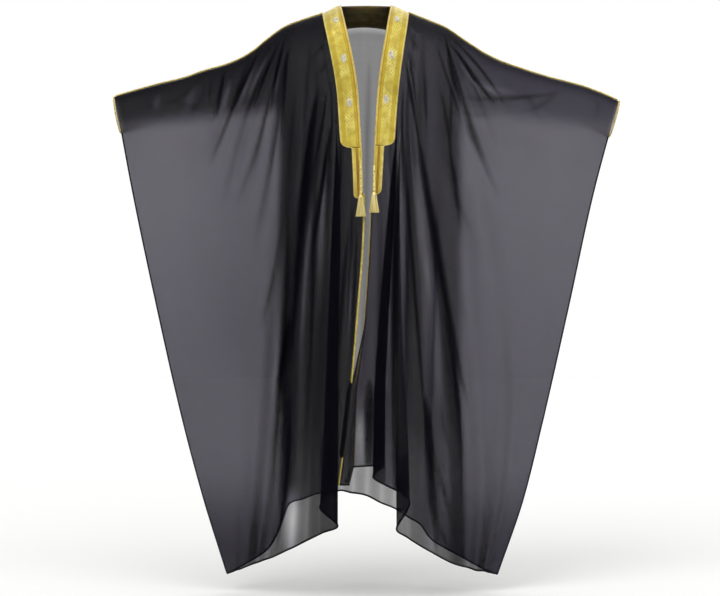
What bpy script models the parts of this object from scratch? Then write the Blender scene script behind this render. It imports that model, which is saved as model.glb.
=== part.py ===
"""Bisht: a sheer black over-cloak with gold zari bands, worn open with the arms held out.

Run with: blender --background --python part.py

Metres, +Z up. The origin is the middle of the neck on the shoulder line, where the wearer's
shoulders carry the cloak. The front faces -Y and the wearer's right arm points along -X.
Tables are in millimetres and are turned into metres where they are read.
"""

import math
from bisect import bisect_right
from collections import namedtuple

import bmesh
import bpy
from mathutils import Matrix, Vector

MM = 0.001

# ------------------------------------------------------------------ driving dimensions
WALL = 1.5 * MM               # cloth, folded and pressed seams included
SEAM_GAP = 0.3 * MM           # between two pieces that are sewn together
TOP_HALF_GAP = 0.5 * MM       # from the shoulder seam's plane to either panel's middle
SIDE_HALF_GAP = 0.95 * MM     # the same at the side seam, where the two walls lie face to face
BAND_WALL = 1.0 * MM          # woven zari band
EDGE_CORD_RADIUS = 1.8 * MM
SHOULDER_CORD_RADIUS = 1.6 * MM
SHOULDER_CORD_CLEAR = 1.2 * MM    # over the seam, whose two edges bend in unlike steps
SHOULDER_CORD_END = 0.15      # share of its last stretch by which it stops short of the cuff
CUFF_CORD_RADIUS = 2.2 * MM

CUFF_DEPTH = 0.075            # share of the side edge that is left open as the cuff
CUFF_HALF_THICK = 36 * MM
HANG_HALF_GAP = 15 * MM       # front to back, half of it, where the wing hangs below the arm
SLEEVE_HALF_THICK = (62 * MM, 44 * MM)     # half of the sleeve's thickness at shoulder and cuff
SLEEVE_REACH = (200 * MM, 650 * MM)        # where along the arm those two stand
SLEEVE_DROP = (60 * MM, 270 * MM)          # below the seam: full sleeve above, hanging wing below
SHOULDER_ROUND = (85 * MM, 46 * MM)        # radius over the shoulder and over the arm
SIDE_CLOSING = 110 * MM                    # width over which the wing closes to its side seam
BULGE_POWER = 1.5             # how quickly the body's depth falls off to its sides
BLEND_POWER = 4               # how tightly the sheet turns from the neck's level edge to the back

NECK_HALF_WIDTH = 67 * MM
NECK_CENTRE = 2 * MM
NECK_BACK = 70 * MM           # how far the neck edge runs behind the shoulder line
NECK_RISE = 12 * MM           # and how far it climbs there

STEPS_PER_FOLD = 3            # mesh columns from one fold line to the next
BAND_END = 0.29               # down the front: end of the wide band
NARROW_END = 0.39             # and of the narrow one under it
NECK_BAND_DEPTH = 0.041       # share of the back's length that the neck band covers
ROWS_DOWN = (0, 0.012, NECK_BAND_DEPTH, 0.060, CUFF_DEPTH, 0.13, 0.20, 0.272, 0.284, BAND_END,
             NARROW_END, 0.48, 0.58, 0.68, 0.78, 0.89, 1.0)

# ------------------------------------------------------------------ tables, millimetres
# Shoulder and sleeve seam, from the right cuff over the neck to the left cuff.
ShoulderPoint = namedtuple("ShoulderPoint", "x z")
SHOULDER_LINE = [
    ShoulderPoint(-662, -220), ShoulderPoint(-617, -207), ShoulderPoint(-548, -188),
    ShoulderPoint(-482, -172), ShoulderPoint(-424, -152), ShoulderPoint(-374, -138),
    ShoulderPoint(-331, -121), ShoulderPoint(-292, -97), ShoulderPoint(-257, -68),
    ShoulderPoint(-209, -35), ShoulderPoint(-159, -16), ShoulderPoint(-111, 0),
    ShoulderPoint(-65, 20), ShoulderPoint(2, 22), ShoulderPoint(69, 20),
    ShoulderPoint(114, 2), ShoulderPoint(159, -16), ShoulderPoint(212, -38),
    ShoulderPoint(268, -75), ShoulderPoint(321, -109), ShoulderPoint(366, -130),
    ShoulderPoint(421, -149), ShoulderPoint(488, -170), ShoulderPoint(575, -193),
    ShoulderPoint(639, -217), ShoulderPoint(670, -231),
]

# Level sections of the worn body: half depth to the front and back, and half width of the bulge.
Section = namedtuple("Section", "name z front back reach")
SECTIONS = [
    Section("neck", 30, 25, 20, 210),
    Section("shoulder", -60, 62, 62, 260),
    Section("chest", -220, 112, 98, 285),
    Section("waist", -500, 128, 98, 300),
    Section("hip", -750, 138, 112, 310),
    Section("knee", -1050, 146, 124, 325),
    Section("hem", -1450, 155, 140, 345),
]

# Fold lines, one row each, in order across a panel. x at six heights, then the height of the hem
# and how far the line stands out of the smooth sheet at waist and hem. Where x turns back on
# itself, the cloth lies in a flat pleat.
Fold = namedtuple("Fold", "name seam chest waist knee calf hem hem_z waist_lift hem_lift")
LEVELS = (0.0, 0.20, 0.43, 0.68, 0.84, 1.0)
LIFT_LEVELS = (0.0, 0.20, 0.43, 1.0)
CHEST_LIFT_SHARE = 0.4

SIDE_SEAM_RIGHT = Fold("side_seam_right", -662, -615, -554, -482, -428, -365, -1484, 0, 0)
SIDE_SEAM_LEFT = Fold("side_seam_left", 670, 603, 540, 469, 419, 350, -1486, 0, 0)

FRONT_RIGHT_FOLDS = [
    Fold("front_edge", -65, -18, -6, -26, -45, -71, -1238, -4, -45),
    Fold("narrow_band_side", -85, -43, -28, -44, -62, -85, -1253, -6, -42),
    Fold("wide_band_side", -112, -69, -57, -69, -84, -104, -1274, -8, -38),
    Fold("under_turn", -117, -73, -85, -97, -106, -117, -1296, -5, -28),
    Fold("pleat_edge", -121, -77, -64, -69, -70, -70, -1336, 9, 8),
    Fold("ridge_1", -127, -82, -90, -100, -105, -110, -1354, 14, 20),
    Fold("valley_1", -135, -90, -115, -132, -141, -150, -1381, -12, -20),
    Fold("ridge_2", -148, -106, -147, -168, -178, -194, -1401, 14, 20),
    Fold("valley_2", -164, -131, -179, -205, -223, -255, -1439, -18, -24),
    Fold("ridge_3", -193, -169, -214, -240, -259, -286, -1448, 14, 14),
    Fold("valley_3", -231, -223, -255, -277, -293, -312, -1463, -10, -8),
    Fold("ridge_4", -284, -282, -311, -322, -326, -330, -1470, 6, 5),
    Fold("wing_1", -379, -366, -372, -362, -352, -341, -1474, 0, 0),
    Fold("wing_2", -472, -449, -432, -402, -378, -349, -1478, 0, 0),
    Fold("wing_3", -567, -532, -493, -442, -403, -357, -1481, 0, 0),
    SIDE_SEAM_RIGHT,
]

FRONT_LEFT_FOLDS = [
    Fold("front_edge", 69, 32, 18, -1, -25, -34, -1191, -4, -52),
    Fold("narrow_band_side", 90, 57, 39, 18, -6, -11, -1189, -6, -50),
    Fold("wide_band_side", 115, 83, 65, 43, 28, 25, -1187, -8, -46),
    Fold("under_turn_1", 119, 87, 76, 60, 52, 50, -1189, -7, -38),
    Fold("pleat_edge_1", 123, 90, 60, 35, 23, 20, -1213, -1, -22),
    Fold("under_turn_2", 126, 93, 89, 97, 108, 115, -1278, 4, -6),
    Fold("pleat_edge_2", 129, 96, 79, 79, 79, 80, -1343, 13, 12),
    Fold("ridge_1", 133, 103, 102, 99, 102, 109, -1366, 17, 22),
    Fold("valley_1", 139, 115, 140, 158, 168, 168, -1411, -12, -20),
    Fold("ridge_2", 148, 131, 172, 206, 220, 222, -1439, 14, 20),
    Fold("valley_2", 161, 154, 206, 250, 270, 266, -1462, -16, -20),
    Fold("ridge_3", 182, 195, 262, 304, 311, 293, -1470, 14, 12),
    Fold("valley_3", 216, 252, 330, 360, 352, 314, -1476, -10, -6),
    Fold("ridge_4", 268, 306, 382, 394, 374, 326, -1479, 6, 4),
    Fold("wing_1", 366, 383, 426, 418, 388, 333, -1481, 0, 0),
    Fold("wing_2", 466, 454, 464, 436, 399, 339, -1483, 0, 0),
    Fold("wing_3", 570, 529, 502, 453, 409, 345, -1484, 0, 0),
    SIDE_SEAM_LEFT,
]

BACK_FOLDS = [
    SIDE_SEAM_RIGHT,
    Fold("wing_right_3", -567, -534, -496, -444, -403, -350, -1478, 0, 0),
    Fold("wing_right_2", -472, -452, -435, -404, -375, -328, -1466, 0, 0),
    Fold("wing_right_1", -379, -368, -375, -359, -338, -302, -1453, 0, 0),
    Fold("ridge_1", -292, -293, -301, -302, -286, -262, -1430, 8, 14),
    Fold("valley_1", -231, -222, -225, -230, -230, -231, -1376, -12, -22),
    Fold("ridge_2", -186, -178, -187, -198, -201, -204, -1311, 12, 20),
    Fold("valley_2", -146, -143, -154, -165, -166, -167, -1296, -12, -22),
    Fold("ridge_3", -110, -106, -117, -128, -131, -133, -1289, 12, 22),
    Fold("valley_3", -67, -73, -84, -92, -95, -98, -1283, -12, -22),
    Fold("ridge_4", -36, -41, -49, -57, -63, -66, -1283, 12, 24),
    Fold("valley_4", 2, -8, -13, -19, -27, -32, -1285, -14, -26),
    Fold("ridge_5", 37, 28, 22, 20, 14, 6, -1298, 12, 22),
    Fold("valley_5", 69, 63, 60, 58, 52, 44, -1312, -12, -22),
    Fold("ridge_6", 114, 101, 99, 97, 91, 83, -1332, 12, 22),
    Fold("valley_6", 143, 138, 136, 131, 128, 120, -1350, -12, -20),
    Fold("ridge_7", 180, 179, 171, 164, 159, 151, -1372, 12, 20),
    Fold("valley_7", 223, 220, 205, 192, 184, 178, -1404, -12, -20),
    Fold("ridge_8", 278, 280, 260, 245, 230, 214, -1429, 8, 12),
    Fold("wing_left_1", 366, 386, 372, 332, 306, 256, -1447, 0, 0),
    Fold("wing_left_2", 466, 457, 439, 391, 351, 292, -1464, 0, 0),
    Fold("wing_left_3", 570, 530, 493, 433, 386, 322, -1477, 0, 0),
    SIDE_SEAM_LEFT,
]
BACK_BAND_FOLDS = ("ridge_3", "ridge_6")    # where the neck band starts and ends on the back

# The rounded lower corner of the wide band: its width as a share, by height.
BAND_CORNER = {0.284: 0.90, BAND_END: 0.60}

# Hanging cord and tassel of each front: where it hangs, and its top, knot and foot.
Tassel = namedtuple("Tassel", "side x cord_top knot foot")
TASSELS = [
    Tassel("right", -11, -401, -478, -545),
    Tassel("left", 23, -414, -471, -535),
]
TASSEL_OUT = 17 * MM          # from the front panel's middle to the tassel's axis
CORD_COLUMN = 2               # mesh column of the front on which the cord's other side lies
CORD_SIDES = 8
CORD_RADIUS = 2.6 * MM        # mean radius of the twisted cord
CORD_LOBE = 0.22              # how deep its two plies are cut in
CORD_TWISTS_PER_METRE = 85
CORD_RINGS_PER_TWIST = 3
CORD_BEND_SHARE = 0.35        # share of the cord's drop that hangs plumb over the knot

TasselRing = namedtuple("TasselRing", "radius drop")
TASSEL_HEAD = [TasselRing(2.0, 0), TasselRing(3.6, 2), TasselRing(4.2, 6), TasselRing(5.8, 12),
               TasselRing(7.4, 19)]
TASSEL_SIDES = 12
STRAND_ROWS = (2.4, 2.6)      # widths of the two rings of faces that the strands hang from
STRAND_INSET = 0.25 * MM
StrandStep = namedtuple("StrandStep", "spread size")
STRAND_STEPS = [StrandStep(0.6, 1.1), StrandStep(0.28, 0.8)]

BLACK_CLOTH = ("black sheer wool voile", (0.012, 0.012, 0.015), 0.75, 0.0)
GOLD_ZARI = ("gold zari braid", (0.46, 0.33, 0.075), 0.38, 0.85)
GOLD_SILK = ("gold silk tassel", (0.44, 0.29, 0.065), 0.55, 0.2)


# ------------------------------------------------------------------ curves through the tables
def curve_through(stations, values):
    """A smooth curve through the values that never overshoots them (monotone cubic)."""
    count = len(stations)
    widths = [stations[i + 1] - stations[i] for i in range(count - 1)]
    rises = [(values[i + 1] - values[i]) / widths[i] for i in range(count - 1)]
    slopes = [rises[0]] + [0.0] * (count - 2) + [rises[-1]]
    for i in range(1, count - 1):
        if rises[i - 1] * rises[i] > 0:
            before = 2 * widths[i] + widths[i - 1]
            after = widths[i] + 2 * widths[i - 1]
            slopes[i] = (before + after) / (before / rises[i - 1] + after / rises[i])

    def at(station):
        station = min(max(station, stations[0]), stations[-1])
        i = min(bisect_right(stations, station) - 1, count - 2)
        part = (station - stations[i]) / widths[i]
        return (values[i] * (1 + 2 * part) * (1 - part) ** 2
                + values[i + 1] * part * part * (3 - 2 * part)
                + widths[i] * slopes[i] * part * (1 - part) ** 2
                - widths[i] * slopes[i + 1] * part * part * (1 - part))
    return at


def ease(value, start, end):
    """0 before start, 1 after end and smooth between them."""
    share = min(max((value - start) / (end - start), 0.0), 1.0)
    return share * share * (3 - 2 * share)


def blend(pair, share):
    return pair[0] + (pair[1] - pair[0]) * share


def quarter_round(share):
    """Height of a quarter circle, from 0 at its foot to 1 at its top."""
    share = min(max(share, 0.0), 1.0)
    return math.sqrt(1 - (1 - share) ** 2)


SHOULDER_Z = curve_through([p.x * MM for p in SHOULDER_LINE], [p.z * MM for p in SHOULDER_LINE])
SECTION_Z = [s.z * MM for s in reversed(SECTIONS)]
BODY_HALF_DEPTH = {
    "front": curve_through(SECTION_Z, [s.front * MM for s in reversed(SECTIONS)]),
    "back": curve_through(SECTION_Z, [s.back * MM for s in reversed(SECTIONS)]),
}
BODY_REACH = curve_through(SECTION_Z, [s.reach * MM for s in reversed(SECTIONS)])


# ------------------------------------------------------------------ the worn form
def neck_curve(x):
    """How far behind the shoulder line the back's top edge lies at x, as a share of NECK_BACK."""
    return math.sqrt(max(0.0, 1 - ((x - NECK_CENTRE) / NECK_HALF_WIDTH) ** 2))


def body_bulge(x, z):
    """Share of the body's half depth that the cloth keeps at x: all in the middle, none beyond."""
    reach = min(1.0, abs(x) / BODY_REACH(z))
    return (1 - reach * reach) ** BULGE_POWER


def cuff_opening(down):
    """Half thickness of the open cuff along the side edge."""
    middle = CUFF_DEPTH / 2
    return CUFF_HALF_THICK * math.sqrt(max(0.0, 1 - ((down - middle) / middle) ** 2))


def half_depth(face, x, z, seam_z, side_distance, down):
    """Distance from the garment's middle plane to the smooth sheet of one face."""
    below = seam_z - z
    along_arm = ease(abs(x), *SLEEVE_REACH)
    sleeve = blend(SLEEVE_HALF_THICK, along_arm)
    hang = blend((sleeve, HANG_HALF_GAP), ease(below, *SLEEVE_DROP))
    body = BODY_HALF_DEPTH[face](z) * body_bulge(x, z)
    over_top = quarter_round(below / blend(SHOULDER_ROUND, along_arm))
    closed = math.sin(math.pi / 2 * min(1.0, side_distance / SIDE_CLOSING))
    return over_top * (hang + body) * closed + cuff_opening(down) * (1 - closed)


class Panel:
    """One cut piece of cloth, as a sheet that runs smoothly through its fold lines."""

    def __init__(self, face, folds):
        self.face = face
        self.out = Vector((0, -1 if face == "front" else 1, 0))
        self.folds = folds
        self.x_lines = [curve_through(LEVELS, [v * MM for v in fold[1:7]]) for fold in folds]
        self.lift_lines = [
            curve_through(LIFT_LEVELS, [0.0, fold.waist_lift * CHEST_LIFT_SHARE * MM,
                                        fold.waist_lift * MM, fold.hem_lift * MM])
            for fold in folds]
        self.columns = [i / STEPS_PER_FOLD for i in range((len(folds) - 1) * STEPS_PER_FOLD + 1)]

    def column_of(self, name):
        """Mesh column that runs down the fold line of this name."""
        return [fold.name for fold in self.folds].index(name) * STEPS_PER_FOLD

    def top(self, x):
        """Height and depth of the panel's top edge at x."""
        if self.face == "back" and neck_curve(x) > 0:
            return SHOULDER_Z(x) + NECK_RISE * neck_curve(x), NECK_BACK * neck_curve(x)
        return SHOULDER_Z(x), 0.0

    def row(self, down):
        """The points of one mesh row, at this share of the way from the seam to the hem."""
        index = list(range(len(self.folds)))
        across_top_x = curve_through(index, [fold.seam * MM for fold in self.folds])
        across_hem_z = curve_through(index, [fold.hem_z * MM for fold in self.folds])
        across_x = curve_through(index, [line(down) for line in self.x_lines])
        across_lift = curve_through(index, [line(down) for line in self.lift_lines])
        sides = [across_x(i) for i, fold in enumerate(self.folds) if fold.name.startswith("side")]
        points = []
        for column in self.columns:
            x = across_x(column)
            seam_z, neck_depth = self.top(across_top_x(column))
            z = seam_z + down * (across_hem_z(column) - seam_z)
            side_distance = min(abs(side - x) for side in sides)
            smooth = half_depth(self.face, x, z, seam_z, side_distance, down)
            gap = blend((TOP_HALF_GAP, SIDE_HALF_GAP), ease(down, 0.0, CUFF_DEPTH))
            depth = gap + (neck_depth ** BLEND_POWER + smooth ** BLEND_POWER) ** (1 / BLEND_POWER)
            points.append(Vector((x, 0, z)) + self.out * (depth + across_lift(column)))
        return points

    def grid(self):
        return [self.row(down) for down in ROWS_DOWN]


# ------------------------------------------------------------------ meshes and objects
def material(spec):
    """The material of this name, made once."""
    name, colour, roughness, metallic = spec
    found = bpy.data.materials.get(name)
    if found:
        return found
    made = bpy.data.materials.new(name)
    made.use_nodes = True
    shader = made.node_tree.nodes["Principled BSDF"]
    shader.inputs["Base Color"].default_value = (*colour, 1)
    shader.inputs["Roughness"].default_value = roughness
    shader.inputs["Metallic"].default_value = metallic
    made.diffuse_color = (*colour, 1)
    return made


def add_object(name, data, spec, collection):
    """Put mesh or curve data into the collection as one named sub-part."""
    placed = bpy.data.objects.new(name, data)
    data.materials.append(material(spec))
    collection.objects.link(placed)
    return placed


def add_mesh(name, bm, spec, collection):
    """Keep a bmesh as one named sub-part."""
    mesh = bpy.data.meshes.new(name)
    bm.to_mesh(mesh)
    bm.free()
    return add_object(name, mesh, spec, collection)


def drape(grid, out):
    """A flat cut with the grid's rows and columns, its crossings moved to their draped places.

    The sheet faces the way out points.
    """
    bm = bmesh.new()
    bmesh.ops.create_grid(bm, x_segments=len(grid[0]) - 1, y_segments=len(grid) - 1, size=1)
    for vert, point in zip(bm.verts, (point for row in grid for point in row)):
        vert.co = point
    bm.normal_update()
    if sum((face.normal * face.calc_area() for face in bm.faces), Vector()).dot(out) < 0:
        bmesh.ops.reverse_faces(bm, faces=bm.faces)
        bm.normal_update()
    return bm


def add_sheet(name, grid, out, wall, spec, collection):
    """A cloth wall over a grid of points. Returns the normals of its middle, row by row."""
    bm = drape(grid, out)
    normals = [vert.normal.copy() for vert in bm.verts]
    placed = add_mesh(name, bm, spec, collection)
    solid = placed.modifiers.new("Wall", "SOLIDIFY")
    solid.thickness = wall
    solid.offset = 0
    width = len(grid[0])
    return [normals[start:start + width] for start in range(0, len(normals), width)]


def laid_on(grid, normals, rows, columns, corner=None):
    """The part of a panel that a band covers, moved out to lie on it."""
    clear = WALL / 2 + SEAM_GAP + BAND_WALL / 2
    laid = []
    for r in rows:
        points = [grid[r][c] + normals[r][c] * clear for c in columns]
        share = (corner or {}).get(ROWS_DOWN[r])
        if share:
            points[-1] = points[-2].lerp(points[-1], share)
        laid.append(points)
    return laid


def add_cord(name, points, radius, spec, collection, closed=False):
    """A round cord through the points."""
    curve = bpy.data.curves.new(name, "CURVE")
    curve.dimensions = "3D"
    curve.bevel_depth = radius
    curve.bevel_resolution = 1
    curve.use_fill_caps = True
    line = curve.splines.new("POLY")
    line.points.add(len(points) - 1)
    for slot, point in zip(line.points, points):
        slot.co = (*point, 1)
    line.use_cyclic_u = closed
    return add_object(name, curve, spec, collection)


def side_of(points, neighbours, clear):
    """The edge's points moved away from their neighbours inside the sheet, square to the edge."""
    moved = []
    for i, (point, inner) in enumerate(zip(points, neighbours)):
        along = (points[min(i + 1, len(points) - 1)] - points[max(i - 1, 0)]).normalized()
        outward = point - inner
        outward -= along * outward.dot(along)
        moved.append(point + outward.normalized() * clear)
    return moved


# ------------------------------------------------------------------ sub-parts
def add_panel(name, panel, collection):
    grid = panel.grid()
    return grid, add_sheet(name, grid, panel.out, WALL, BLACK_CLOTH, collection)


def add_front_trim(side, panel, grid, normals, collection):
    """Wide band, narrow band and edge cord of one front."""
    band_row, narrow_row = ROWS_DOWN.index(BAND_END), ROWS_DOWN.index(NARROW_END)
    wide = range(0, panel.column_of("wide_band_side") + 1)
    narrow = range(0, panel.column_of("narrow_band_side") + 1)
    add_sheet(f"wide_band_{side}", laid_on(grid, normals, range(0, band_row + 1), wide, BAND_CORNER),
              panel.out, BAND_WALL, GOLD_ZARI, collection)
    narrow_grid = laid_on(grid, normals, range(band_row, narrow_row + 1), narrow)
    start = [upper + (lower - upper).normalized() * SEAM_GAP
             for upper, lower in zip(narrow_grid[0], narrow_grid[1])]
    add_sheet(f"narrow_band_{side}", [start] + narrow_grid[1:],
              panel.out, BAND_WALL, GOLD_ZARI, collection)
    rows = range(narrow_row, len(grid))
    edge = side_of([grid[r][0] for r in rows], [grid[r][1] for r in rows],
                   EDGE_CORD_RADIUS + SEAM_GAP)
    add_cord(f"edge_cord_{side}", edge, EDGE_CORD_RADIUS, GOLD_ZARI, collection)


def add_sleeve_trim(side, front_grid, back_edge, back_inner, first_column, collection):
    """Cord along the shoulder seam and cord round the cuff of one sleeve."""
    up = Vector((0, 0, WALL / 2 + SHOULDER_CORD_CLEAR + SHOULDER_CORD_RADIUS))
    seam = [Vector((point.x, 0, point.z)) + up for point in front_grid[0][first_column:-1]]
    end = Vector((front_grid[0][-1].x, 0, front_grid[0][-1].z)) + up
    seam.append(end.lerp(seam[-1], SHOULDER_CORD_END))
    add_cord(f"shoulder_cord_{side}", seam, SHOULDER_CORD_RADIUS, GOLD_ZARI, collection)

    rows = range(0, ROWS_DOWN.index(CUFF_DEPTH) + 1)
    clear = CUFF_CORD_RADIUS + WALL / 2 + SEAM_GAP
    front = side_of([front_grid[r][-1] for r in rows], [front_grid[r][-2] for r in rows], clear)
    back = side_of([back_edge[r] for r in rows], [back_inner[r] for r in rows], clear)
    top, bottom = front[0].lerp(back[0], 0.5), front[-1].lerp(back[-1], 0.5)
    loop = [top] + front[1:-1] + [bottom] + back[-2:0:-1]
    add_cord(f"cuff_cord_{side}", loop, CUFF_CORD_RADIUS, GOLD_ZARI, collection, closed=True)


def lowest_face(bm):
    return min(bm.faces, key=lambda face: face.calc_center_median().z)


def draw_down(bm, face, centre, drop, scale=1.0, turn=0.0):
    """Extrude a level face down to its next ring, scaled and turned about the ring's centre."""
    face = bmesh.ops.extrude_discrete_faces(bm, faces=[face])["faces"][0]
    place = Matrix.Translation(centre - Vector((0, 0, drop)))
    shape = Matrix.Rotation(turn, 4, "Z") @ Matrix.Diagonal((scale, scale, 1, 1))
    bmesh.ops.transform(bm, matrix=place @ shape @ Matrix.Translation(-centre), verts=face.verts)
    return face


def add_tassel_cord(name, top, hang, bottom_z, collection):
    """Two plies twisted together, from under the band to the knot, hanging plumb below its bend."""
    length = top.z - bottom_z
    rings = round(length * CORD_TWISTS_PER_METRE * CORD_RINGS_PER_TWIST)
    step = length / rings
    turn = 2 * math.pi / CORD_RINGS_PER_TWIST / 2
    bm = bmesh.new()
    bmesh.ops.create_cone(bm, cap_ends=True, segments=CORD_SIDES, radius1=CORD_RADIUS,
                          radius2=CORD_RADIUS, depth=step)
    for vert in bm.verts:
        lobe = 1 + CORD_LOBE * math.cos(2 * math.atan2(vert.co.y, vert.co.x))
        vert.co.x *= lobe
        vert.co.y *= lobe
    bmesh.ops.translate(bm, verts=bm.verts, vec=top - Vector((0, 0, step / 2)))
    face = lowest_face(bm)
    for ring in range(1, rings):
        face = draw_down(bm, face, Vector((top.x, top.y, 0)), step, turn=turn)
    for vert in bm.verts:
        vert.co.y += (hang.y - top.y) * ease(top.z - vert.co.z, 0.0, top.z - hang.z)
    return add_mesh(name, bm, GOLD_SILK, collection)


def add_tassel_head(name, knot, length, collection):
    """A turned head whose floor is drawn down, face by face, into hanging strands."""
    first, second = TASSEL_HEAD[0], TASSEL_HEAD[1]
    bm = bmesh.new()
    bmesh.ops.create_cone(bm, cap_ends=True, segments=TASSEL_SIDES, radius1=second.radius * MM,
                          radius2=first.radius * MM, depth=second.drop * MM)
    bmesh.ops.translate(bm, verts=bm.verts, vec=knot - Vector((0, 0, second.drop * MM / 2)))
    floor = lowest_face(bm)
    for upper, lower in zip(TASSEL_HEAD[1:], TASSEL_HEAD[2:]):
        floor = draw_down(bm, floor, knot, (lower.drop - upper.drop) * MM,
                          lower.radius / upper.radius)
    roots = []
    for thickness in STRAND_ROWS:
        roots += bmesh.ops.inset_region(bm, faces=[floor], thickness=thickness * MM)["faces"]
    bmesh.ops.inset_individual(bm, faces=roots, thickness=STRAND_INSET)
    drop = (length - TASSEL_HEAD[-1].drop * MM) / len(STRAND_STEPS)
    for face in roots:
        for step in STRAND_STEPS:
            face = bmesh.ops.extrude_discrete_faces(bm, faces=[face])["faces"][0]
            centre = face.calc_center_median()
            outward = Vector((centre.x - knot.x, centre.y - knot.y, 0)) * step.spread
            for vert in face.verts:
                vert.co = centre.lerp(vert.co, step.size) + outward - Vector((0, 0, drop))
    return add_mesh(name, bm, GOLD_SILK, collection)


def add_tassel(spec, grid, collection):
    """The twisted cord that hangs from the narrow band, and the tassel at its end."""
    x, top, knot = spec.x * MM, spec.cord_top * MM, spec.knot * MM
    clear = WALL / 2 + 2 * SEAM_GAP + BAND_WALL + CORD_RADIUS * (1 + CORD_LOBE)
    edge_y = curve_through([-row[0].z for row in grid], [row[0].y for row in grid])
    inner_y = curve_through([-row[CORD_COLUMN].z for row in grid],
                            [row[CORD_COLUMN].y for row in grid])
    root_y = min(edge_y(-top), inner_y(-top)) - clear
    axis_y = min(min(edge_y(-z), inner_y(-z)) for z in (knot, spec.foot * MM)) - TASSEL_OUT
    hang = Vector((x, axis_y, knot + (top - knot) * CORD_BEND_SHARE))
    add_tassel_cord(f"tassel_cord_{spec.side}", Vector((x, root_y, top)), hang,
                    knot + SEAM_GAP, collection)
    add_tassel_head(f"tassel_{spec.side}", Vector((x, axis_y, knot)), knot - spec.foot * MM,
                    collection)


def main():
    for old in list(bpy.data.objects):
        bpy.data.objects.remove(old, do_unlink=True)
    collection = bpy.data.collections.new("bisht")
    bpy.context.scene.collection.children.link(collection)

    back = Panel("back", BACK_FOLDS)
    fronts = {"right": Panel("front", FRONT_RIGHT_FOLDS), "left": Panel("front", FRONT_LEFT_FOLDS)}
    back_grid, back_normals = add_panel("back_panel", back, collection)
    neck_columns = range(back.column_of(BACK_BAND_FOLDS[0]), back.column_of(BACK_BAND_FOLDS[1]) + 1)
    neck_rows = range(0, ROWS_DOWN.index(NECK_BAND_DEPTH) + 1)
    add_sheet("neck_band", laid_on(back_grid, back_normals, neck_rows, neck_columns),
              back.out, BAND_WALL, GOLD_ZARI, collection)
    for side, panel in fronts.items():
        grid, normals = add_panel(f"front_panel_{side}", panel, collection)
        add_front_trim(side, panel, grid, normals, collection)
        outer, inner = (0, 1) if side == "right" else (-1, -2)
        add_sleeve_trim(side, grid, [row[outer] for row in back_grid],
                        [row[inner] for row in back_grid], panel.column_of("wide_band_side"),
                        collection)
        add_tassel(next(t for t in TASSELS if t.side == side), grid, collection)


if __name__ == "__main__":
    main()
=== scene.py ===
"""Bisht: a sheer black over-cloak with gold zari bands, worn open with the arms held out.

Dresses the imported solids. Metres, +Z up; the front faces -Y and the wearer's right arm points
along -X. Tables are in millimetres and are turned into metres where they are read.
"""

import logging
import math
from dataclasses import dataclass, field
from enum import Enum
from typing import NamedTuple, Sequence

import bmesh
import bpy
import numpy as np
from mathutils import Matrix, Vector


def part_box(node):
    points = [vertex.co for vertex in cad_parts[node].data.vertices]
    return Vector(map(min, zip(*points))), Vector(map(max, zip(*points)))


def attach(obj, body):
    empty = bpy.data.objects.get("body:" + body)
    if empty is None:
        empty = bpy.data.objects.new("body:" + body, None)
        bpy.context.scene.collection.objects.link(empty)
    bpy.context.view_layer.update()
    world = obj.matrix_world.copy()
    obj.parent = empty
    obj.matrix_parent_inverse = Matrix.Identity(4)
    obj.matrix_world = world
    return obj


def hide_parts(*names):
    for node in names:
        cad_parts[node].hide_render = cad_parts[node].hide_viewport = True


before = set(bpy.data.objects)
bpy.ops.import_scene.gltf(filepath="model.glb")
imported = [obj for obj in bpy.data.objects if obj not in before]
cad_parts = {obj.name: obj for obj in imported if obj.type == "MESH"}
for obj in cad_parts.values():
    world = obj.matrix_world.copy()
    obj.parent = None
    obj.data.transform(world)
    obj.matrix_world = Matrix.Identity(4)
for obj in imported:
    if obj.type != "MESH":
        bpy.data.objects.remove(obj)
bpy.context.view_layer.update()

LOG = logging.getLogger("bisht")
MM = 0.001
Array = np.ndarray
Pair = tuple[float, float]
Triple = tuple[float, float, float]
Finish = bpy.types.Material
Mesh = bpy.types.Mesh
Piece = bpy.types.Object
Socket = bpy.types.NodeSocket
Tree = bpy.types.NodeTree


# ---- named options
class Face(Enum):
    """Side of the garment on which a panel hangs, with the direction that its outside faces."""

    FRONT = -1
    BACK = 1


class Side(Enum):
    """The wearer's side, with its sign along X."""

    RIGHT = -1
    LEFT = 1

    @property
    def word(self) -> str:
        """The side's name as used in node names."""
        return self.name.lower()


class Slot(Enum):
    """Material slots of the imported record."""

    CLOTH = "cloth"
    BAND = "zari_band"
    CORD = "zari_cord"
    SILK = "tassel_silk"


# ---- tables, millimetres
class Section(NamedTuple):
    """A level section of the worn body: half depths, and half width of the bulge."""

    name: str
    z: float
    front: float
    back: float
    reach: float


class Fold(NamedTuple):
    """A fold line: x at six heights, its hem height, and how far it stands out of the sheet."""

    name: str
    seam: float
    chest: float
    waist: float
    knee: float
    calf: float
    hem: float
    hem_z: float
    waist_lift: float
    hem_lift: float


class Crease(NamedTuple):
    """A soft crease along a bent line: a ridge where depth is above 0, a trough below it.

    doubled_and_painted: layers added, a pinched fold's own and painted shade; below 0, a painted
    highlight.
    """

    top_x: float
    top_z: float
    middle_x: float
    middle_z: float
    low_x: float
    low_z: float
    width: float
    depth: float
    doubled_and_painted: float


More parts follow.
